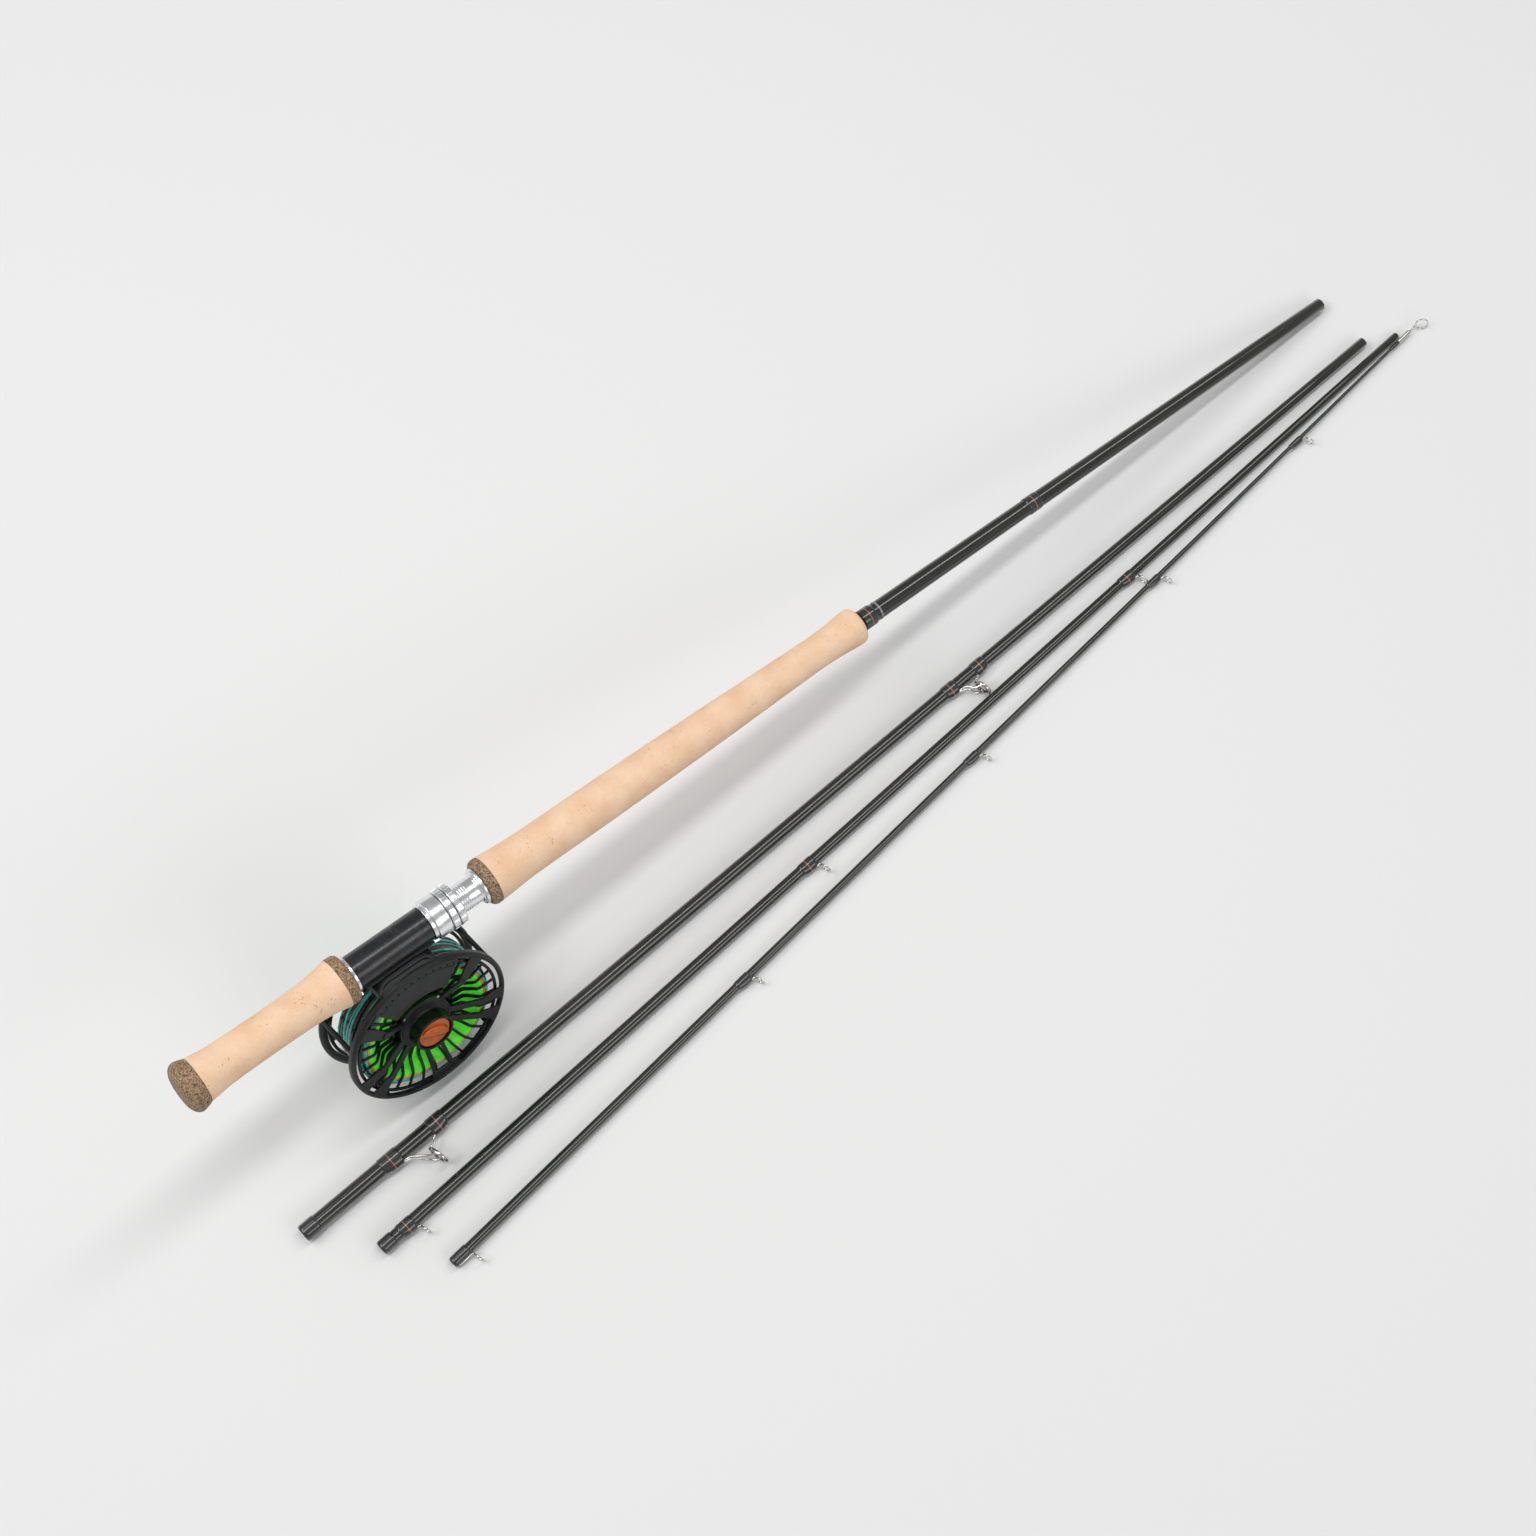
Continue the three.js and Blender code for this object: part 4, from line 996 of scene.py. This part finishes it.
def build_drag():
    collar = softened([
        (-23.4, 11.6, 0.4), (-23.0, 12.35, 0.5), (-15.6, 12.45, 0.6), (-15.0, 13.0, 0.3), (-13.75, 15.9, 0.3),
        (-13.7, 7, 0), (-16, 7, 0), (-16, 10.75, 0.2), (-23.1, 10.75, 0.3)])
    reel_turned("collar_stepped", collar, 96, "butt", COLLAR_SHADED_BLACK, "black_anodised", "hub_collar")

    base = softened([(-22.4, 0), (-22.4, 9.9, 0.5), (-21.6, 10.35, 0.3), (-16.4, 10.35, 0.2), (-16.4, 6.6, 0),
                     (-9.9, 6.6, 0), (-9.9, 3.2, 0), (-20, 3.2, 0), (-20, 0)], closed=False)
    knob = raw("knob_base", lathe(base, 96, "Y", closed=False), REEL)
    # a broad grip across the knob: its upper edge is curved and its lower edge is straight
    leaf = []
    for k in range(25):
        t = k / 24 * 2 - 1
        leaf.append((t * KNOB_SPAN, 5.6 * (1 - t * t) ** 0.75))
    for k in range(1, 24):
        t = 1 - k / 24 * 2
        leaf.append((t * KNOB_SPAN, -1.5 * (1 - t ** 4)))
    turn = Matrix.Rotation(math.radians(33), 4, "Y")
    upper = [Vector((k / 6 * 8.8, -22.5, 6.3 * (1 - (k / 6) ** 2) ** 0.75 + 0.3)) for k in range(-6, 7)]
    lower = [Vector((k / 3 * 8.8, -22.5, -2.4)) for k in range(-3, 4)]
    grooves = [moved(tube(path, 0.6, 8), turn) for path in (upper, lower)]
    boolean(knob, merged(*grooves))
    show(knob, "drag_knob", ORANGE, "orange_anodised", "drag_knob")
    grip = raw("knob_grip", moved(plate(leaf, -23.7, -22.0), turn), REEL)
    bevelled(grip, 0.55, 3)
    show(grip, "drag_knob", ORANGE, "orange_anodised")

    for name in ("spindle", "drag_spring", "pressure_plate", "drag_rotor", "one_way_clutch", "spool_bearing",
                 "foot_screw_1", "foot_screw_2"):
        paint(name, STEEL)
    for name in ("drag_disc_front", "drag_disc_rear"):
        paint(name, DISC)
    paint("drag_housing", SPOOL_BLACK)


def paint(node, material):
    data = frame["nodes"][node].data
    data.materials.clear()
    data.materials.append(material)


def build_spool():
    core = lathe(softened([(-10.4, 20.5, 0.4), (13, 20.5, 0.4), (13, 10.3, 0.2), (0.4, 10.3, 0), (0.4, 12, 0),
                           (9, 12, 0), (9, 18.2, 0), (-10.4, 18.2, 0.3)]), 96, "Y")
    show(raw("spool_core", core, REEL), "spool", SPOOL_BLACK, "black_anodised", "spool")
    front = lathe(softened([(-16.5, 46.9, 0.6), (-15.0, 47.2, 0.4), (-15.0, 45.2, 0.3), (-16.4, 45.2, 0.4)]),
                  144, "Y")
    rear = lathe(softened([(13.3, 46.9, 0.3), (16.6, 46.9, 0.6), (16.6, 45, 0.6), (13.3, 45, 0.3)]), 144, "Y")
    ribs = []
    dish = [(18.6, -8.9), (26.5, -8.9), (28.2, -9.1), (29.6, -9.9), (32.0, -12.2), (34.6, -14.7),
            (35.8, -15.5), (37.2, -15.7), (41.0, -15.7), (45.9, -15.7)]
    for k in range(30):
        rib = bar([Vector((0, y, r)) for r, y in dish], Vector((1, 0, 0)), 1.5,
                  [2.3, 2.3, 2.2, 2.0, 1.8, 1.6, 1.4, 1.3, 1.3, 1.3], 0.35)
        ribs.append(spun(rib, 12 * k + 5))
    show(raw("spool_rim_front", front, REEL), "spool", SPOOL_BLACK, "black_anodised")
    show(raw("spool_ribs_front", merged(*ribs), REEL), "spool", SPOOL_BLACK, "black_anodised")
    show(raw("spool_rim_rear", rear, REEL), "spool", SPOOL_BLACK, "black_anodised")
    arms = []
    for k in range(10):
        path = [Vector((0, y, r)) for r, y in ((19, 12.1), (28, 12.6), (37, 13.6), (45.8, 14.6))]
        widths = [5.6, 3.6, 3.0, 4.6]
        arms.append(spun(bar(path, Vector((1, 0, 0)), widths, 1.8, 0.45), 36 * (k + 0.5)))
    show(raw("spool_arms_rear", merged(*arms), REEL), "spool", SPOOL_BLACK, "black_anodised")


def concentric(y0, y1, r0, r1, pitch, sides):
    """A wound ring whose two sides show its turns as small ridges."""
    turns = max(1, round((r1 - r0) / pitch))
    step = (r1 - r0) / turns
    profile = [(y0(r0), r0)]
    for k in range(turns):
        base = r0 + step * k
        for f, lift in ((0.15, 0.55), (0.35, 0.9), (0.5, 1.0), (0.65, 0.9), (0.85, 0.55), (1.0, 0.0)):
            r = base + step * f
            profile.append((y0(r) - lift * pitch * 0.35, r))
    for k in range(turns, -1, -1):
        profile.append((y1, r0 + step * k))
    return lathe(profile, sides, "Y")


def line_side(r):
    """Where the wound line's drag-side face lies, behind the dished ribs."""
    if r < 30.4:
        return -7.4
    return max(-14.5, -7.4 - (r - 30.4) * 1.03)


def build_line():
    green = concentric(line_side, 10.9, 20.8, 38.5, 0.8, 120)
    show(raw("backing_wound", green, REEL), "spool", GREEN, "backing_green", "backing")
    amber = concentric(line_side, 10.9, 38.7, 40.0, 1.3, 120)
    show(raw("running_line_wound", amber, REEL), "spool", AMBER, "line_orange", "running_line")
    teal = concentric(line_side, 10.9, 40.2, 41.5, 1.3, 120)
    show(raw("fly_line_wound", teal, REEL), "spool", TEAL, "line_teal", "fly_line")

    # the outer turns wander across the spool and cross each other at shallow angles
    def strand(turns, wander, shift, radius, wire, seed):
        chance = random.Random(seed)
        low, high = -12.6, 9.9
        phases = [chance.uniform(0, 6.28) for _ in range(3)]
        points = []
        for k in range(int(turns * 40) + 1):
            turn = k / 40
            swing = (turn / wander + shift) % 2
            share = swing if swing < 1 else 2 - swing
            a = 2 * math.pi * turn
            y = low + (high - low) * share + 0.8 * math.sin(a + phases[0]) + 0.5 * math.sin(2 * a + phases[1])
            r = radius + 0.25 * math.sin(1.7 * a + phases[2])
            points.append((r * math.sin(a), max(low, min(high, y)), r * math.cos(a)))
        return tube(points, wire, 8)
    under = strand(16, 15.0, 0.0, 41.6, 0.9, 3)
    show(raw("line_turns_under", under, REEL), "spool", DARK_LINE, "line_teal")
    dark = merged(strand(11, 4.3, 0.2, 42.6, 0.8, 5), strand(9, 3.1, 0.9, 43.0, 0.8, 8))
    show(raw("line_turns_dark", dark, REEL), "spool", DARK_LINE, "line_teal")
    teal = merged(strand(4, 2.7, 0.4, 43.2, 0.8, 13), strand(3, 3.9, 1.3, 43.4, 0.75, 21))
    show(raw("line_turns_teal", teal, REEL), "spool", TEAL, "line_teal")


def build_handle():
    cap = softened([(17.3, 0), (17.3, 8.8, 0.5), (16.6, 9.8, 0.4), (13.3, 9.8, 0.2), (13.3, 3.4, 0),
                    (14.4, 3.4, 0), (14.4, 0)], closed=False)
    obj = raw("cap_release", lathe(cap, 80, "Y", closed=False), REEL)
    slots = [spun(tube([(0, 17.6, 7.6), (0, 17.6, 12)], 1.5, 14), 120 * k) for k in range(3)]
    dimple = lathe([(16.4, 0), (16.4, 2.2), (18, 3.4), (18, 0)], 40, "Y", closed=False)
    boolean(obj, merged(*slots, dimple))
    show(obj, "spool_cap", BLACK, "black_anodised", "spool_cap")

    # the knob's own axis and length come from its CAD solid
    pin = joints["handle_knob_spin"]
    place = placed(ROD_X, REEL_Y, ROD_Z, Vector(pin["pos_m"]))
    inverse = place.inverted()
    reach = [(inverse @ v.co).y / MM for v in frame["nodes"]["handle_knob"].data.vertices]
    y0, y1 = min(reach), max(reach)
    knob = softened([
        (y0, 1.9, 0), (y0, 5.1, 0.4), (y0 + 1.6, 5.4, 0.5), (y0 + 3.2, 4.95, 1.0), (y0 + 9, 4.45, 3),
        (y1 - 4.2, 5.6, 2), (y1 - 1.0, 5.8, 0.5), (y1, 5.8, 0.0), (y1, 3.6, 0.3), (y1 - 0.6, 3.0, 0.3),
        (y1 - 0.6, 1.9, 0)], steps=5)
    obj = raw("handle_knob_turned", lathe(knob, 72, "Y"), place)
    groove = spun(torus(5.05, 0.28, 8, 48), 90, "Z")
    grooves = [slid(groove, y=y0 + along) for along in (11.2, 13.0, 14.8)]
    boolean(obj, merged(*grooves))
    show(obj, "handle", BLACK, "black_anodised", "handle_knob")
    reach = [(inverse @ v.co).y / MM for v in frame["nodes"]["handle_pin"].data.vertices]
    p0, p1 = min(reach), max(reach)
    pin_profile = softened([(p0, 0), (p0, 3, 0.2), (p0 + 2.1, 3, 0.3), (p0 + 2.2, 1.6, 0), (p1, 1.6, 0.3),
                            (p1, 0)], closed=False)
    turned("handle_pin_turned", pin_profile, 40, place, "spool", STEEL, "steel", "handle_pin", axis="Y",
           closed=False)
    centre = (REEL.inverted() @ Vector(pin["pos_m"])) / MM
    boss = softened([(13.0, 0), (13.0, 6, 0.3), (15.2, 6, 0.4), (15.2, 0)], closed=False)
    boss = lathe(boss, 48, "Y", closed=False)
    bosses = [slid(boss, s * centre.x, 0, s * centre.z) for s in (1, -0.999)]
    show(raw("spool_bosses", merged(*bosses), REEL), "spool", SPOOL_BLACK, "black_anodised")
    weight = softened([(15.5, 0), (15.5, 5, 0.3), (17.1, 5, 0.3), (17.5, 4.4, 0.3), (17.5, 2.4, 0.2),
                       (16.9, 1.8, 0.1), (16.9, 0)], closed=False)
    weight = slid(lathe(weight, 56, "Y", closed=False), -centre.x, 0, -centre.z)
    show(raw("counterweight_turned", weight, REEL), "spool", BRIGHT, "bright_aluminium", "counterweight")


# ---- Loose sections ----
SECTIONS = {
    2: {"outer": (4.95, 3.1), "bore": (4.2, 2.4)},
    3: {"outer": (4.1, 2.35), "bore": (3.2, 1.6)},
    4: {"outer": (3.15, 0.9), "bore": (2.45, 0.0)},
}
STRIPPERS = {
    "1": {"at": 86.5, "ring": 7.1, "height": 16.3, "lower": (57, 70.5), "upper": (92, 103.5)},
    "2": {"at": 515.5, "ring": 5.9, "height": 12.7, "lower": (495, 504.6), "upper": (518.7, 528.3)},
}
WIRE_GUIDES = {3: [(26, 4.0), (340, 3.9), (611, 3.6)],
               4: [(13, 4.0), (240, 3.5), (435, 3.4), (598, 3.3), (731, 3.2)]}
RING_TILT = math.radians(14)
AIR = 0.3


def section_radius(section, x):
    low, high = section["outer"]
    return low + (high - low) * x / section["length"]


def guide_place(place, node, at):
    """The frame of a guide: at the blank's axis, with -Y towards the guide's ring."""
    inverse = place.inverted()
    points = [inverse @ v.co for v in frame["nodes"][node].data.vertices]
    mean = sum(points, Vector()) / len(points)
    out = Vector((0, mean.y, mean.z)).normalized()
    turn = placed(Vector((1, 0, 0)), -out, Vector((1, 0, 0)).cross(-out), Vector((at * MM, 0, 0)))
    return place @ turn


def wrap_shape(length, radius, swell, lump=0.0, lump_from=-1.0, lump_to=1.0, sides=48):
    """A varnished wrap about its own middle, fuller on the side of the foot under it (-Y)."""
    rings = []
    steps = 26
    half = length / 2
    for i in range(steps + 1):
        u = i / steps * 2 - 1
        x = u * half
        edge = min(1.0, (1 - abs(u)) * half / 1.3)
        skin = swell * math.sin(edge * math.pi / 2) ** 0.7 if edge > 0 else 0.0
        along = max(0.0, min(1.0, (u - lump_from) / max(1e-6, (lump_to - lump_from))))
        rise = lump * math.sin(min(1.0, along * 1.15) * math.pi / 2) * min(1.0, edge * 1.2)
        ring = []
        for k in range(sides):
            a = 2 * math.pi * k / sides
            towards = max(0.0, -math.cos(a))
            r = radius + skin + rise * towards ** 3
            ring.append(Vector((x, r * math.cos(a), r * math.sin(a))))
        rings.append(ring)
    inner = [[Vector((x, (radius - 0.02) * math.cos(2 * math.pi * k / sides),
                      (radius - 0.02) * math.sin(2 * math.pi * k / sides))) for k in range(sides)]
             for x in (half, -half)]
    return bridged(rings + inner, closed_path=True)


def build_blank(number, place, section):
    length = section["length"]
    socket, narrow = section["bore"]
    outer = [(length * k / 12, section_radius(section, length * k / 12)) for k in range(13)]
    outer[0] = (0.3, section["outer"][0])
    start = [(0.0, socket + 0.25), (0.0, section["outer"][0] - 0.3)]
    if narrow:
        end = [(length, section["outer"][1] - 0.25), (length, narrow), (55, socket), (0.0, socket)]
        profile, closed = start + outer[:-1] + [(length - 0.3, section["outer"][1])] + end, True
    else:
        end = [(length, 0.4), (length, 0.0), (420, 0.0), (55, socket), (0.0, socket)]
        profile, closed = start + outer + end, True
    body = f"section_{number}"
    show(raw(f"blank_{number}_tube", lathe(profile, 48, closed=closed), place), body, BLANK, "carbon",
         f"blank_{number}")
    wrap = {2: 10.6, 3: 9.6, 4: 12.0}[number]
    middle = 0.2 + wrap / 2
    skin = wrap_shape(wrap, section_radius(section, middle) + 0.02, 0.52)
    show(raw(f"ferrule_thread_{number}", skin, shifted(place, x=middle)), body, THREAD_PLAIN, "thread",
         f"ferrule_wrap_{number}")


def build_stripper(place, section, name, guide):
    body = "section_2"
    node = f"stripper_frame_{name}"
    spot = guide_place(place, node, guide["at"])
    at, ring, height = guide["at"], guide["ring"], guide["height"]
    blank = section_radius(section, at)
    foot = blank + 0.75
    tilt = Matrix.Rotation(RING_TILT, 4, "Z")
    centre = Matrix.Translation((0, -height, 0))
    band = moved(torus(ring, 0.85, 12, 64, flat=1.25), centre @ tilt)
    low, high = guide["lower"][1] - at, guide["upper"][0] - at
    parts = [band]
    for side in (1, -1):
        path = smooth_path([(low - 2.0, -foot, side * 0.5), (low + 0.6, -foot - 0.1, side * 0.7),
                            (low + 4.0, -foot - 1.5, side * 1.8), (-4.2, -height + 2.0, side * (ring - 2.6)),
                            (-0.8, -height + 0.3, side * (ring - 1.0)),
                            (0.3, -height - 1.0, side * (ring - 0.75))], 6)
        parts.append(tube(path, 0.62, 10, flat=0.8))
    near = -height + ring
    hook = smooth_path([(high + 2.4, -foot + 0.1, 0), (high - 0.4, -foot - 0.1, 0),
                        (high - 1.6, -foot - 1.1, 0),
                        (high - 1.9, near + 1.9, 0), (high - 2.6, near + 0.6, 0), (0.6, near + 0.3, 0),
                        (-0.3, near - 0.5, 0)], 6)
    parts.append(tube(hook, 0.6, 10))
    for x0, x1 in ((guide["lower"][0] - at + 2.5, low + 0.4), (high - 0.4, guide["upper"][1] - at - 2.5)):
        shoe = bar([Vector((x0, -foot, 0)), Vector(((x0 + x1) / 2, -foot, 0)), Vector((x1, -foot, 0))],
                   Vector((0, 0, 1)), [1.4, 2.2, 2.0] if x0 < 0 else [2.0, 2.2, 1.4], 0.7, 0.3)
        parts.append(shoe)
    show(raw(f"stripper_{name}_frame", merged(*parts), spot), body, CHROME, "guide_chrome", node)
    insert = moved(torus(ring - 1.45, 0.62, 12, 64, flat=1.6), centre @ tilt)
    show(raw(f"stripper_{name}_ring", insert, spot), body, INSERT, "guide_chrome", f"stripper_insert_{name}")
    for end, sign in (("lower", 1), ("upper", -1)):
        x0, x1 = guide[end]
        middle = (x0 + x1) / 2
        r = section_radius(section, middle) + 0.02
        shape = wrap_shape(x1 - x0, r, 0.5, 1.15 * (1 if ring > 6 else 0.85), -0.9, 0.5)
        if sign < 0:
            shape = moved(shape, Matrix.Scale(-1, 4, Vector((1, 0, 0))))
        obj = raw(f"stripper_{name}_thread_{end}", shape, shifted(spot, x=middle - at))
        show(obj, body, THREAD, "thread", f"stripper_wrap_{name}_{end}")


def build_wire_guide(number, place, section, index, at, ring):
    body = f"section_{number}"
    node = f"guide_{number}_{index}"
    spot = guide_place(place, node, at)
    blank = section_radius(section, at)
    height = blank + AIR + ring + 0.9
    wire = 0.48
    foot = blank + wire + 0.1
    near = -height + ring - wire
    tilt = Matrix.Rotation(RING_TILT, 4, "Z")
    loop = moved(torus(ring, wire, 12, 48), Matrix.Translation((0, -height, 0)) @ tilt)
    length = min(10.5, at - 0.8)
    neck = smooth_path([(-length, -foot, 0), (-length * 0.6, -foot, 0), (-3.6, -foot - 0.02, 0),
                        (-2.2, -foot - 0.2, 0),
                        (-1.2, near + 1.0, 0), (-0.6, near + 0.1, 0)], 6)
    radii = [wire * (0.65 + 0.35 * min(1.0, i / 6)) for i in range(len(neck))]
    show(raw(f"guide_wire_{number}_{index}", merged(loop, tube(neck, radii, 10)), spot), body, CHROME,
         "guide_chrome", node)
    if at < 20:                                      # this foot lies under the ferrule's own wrap
        return
    wrap_end = at - 2.0
    wrap = min(10.5, at - 13.4)
    middle = wrap_end - wrap / 2
    shape = wrap_shape(wrap, section_radius(section, middle) + 0.02, 0.42, 0.95, -1.0, 0.35)
    show(raw(f"guide_thread_{number}_{index}", shape, shifted(spot, x=middle - at)),
         body, THREAD_PLAIN if number == 4 else THREAD, "thread")


def build_tip(place, section):
    length = section["length"]
    spot = guide_place(place, "tip_top", length)
    r = section["outer"][1]
    sleeve = softened([(-9, r + 0.05, 0), (-9, r + 0.65, 0.3), (1.6, r + 0.65, 0.6), (2.2, 0.55, 0.4),
                       (2.2, 0), (0.2, 0), (0.2, r + 0.05, 0)], closed=False)
    sleeve = lathe(sleeve, 40, closed=False)
    tilt, ring, wire = math.radians(40), 4.4, 0.5
    centre = Vector((8 + (ring - wire) * math.cos(tilt), -(ring - wire) * math.sin(tilt), 0))
    turn = Matrix.Rotation(-tilt, 4, "Z") @ Matrix.Rotation(math.pi / 2, 4, "Z")
    loop = moved(torus(ring, wire, 12, 48), Matrix.Translation(centre) @ turn)
    stem = tube(smooth_path([(1.5, 0, 0), (4, 0, 0), (6.8, 0, 0), (8.4, -0.25, 0)], 6), 0.52, 12)
    show(raw("tip_top_wire", merged(sleeve, stem, loop), spot), "section_4", CHROME, "guide_chrome",
         "tip_top")
    wrap = wrap_shape(7.0, section_radius(section, length - 12.6) + 0.02, 0.35)
    show(raw("tip_thread", wrap, shifted(place, x=length - 12.8)), "section_4", THREAD_PLAIN, "thread")


def build_sections():
    for number, section in SECTIONS.items():
        place, section["length"] = axis_frame(f"blank_{number}")
        build_blank(number, place, section)
        if number == 2:
            for name, guide in STRIPPERS.items():
                build_stripper(place, section, name, guide)
        else:
            for index, (at, ring) in enumerate(WIRE_GUIDES[number], 1):
                build_wire_guide(number, place, section, index, at, ring)
        if number == 4:
            build_tip(place, section)


build_grips()
build_butt_blank()
build_seat()
build_cage()
build_foot()
build_drag()
build_spool()
build_line()
build_handle()
build_sections()
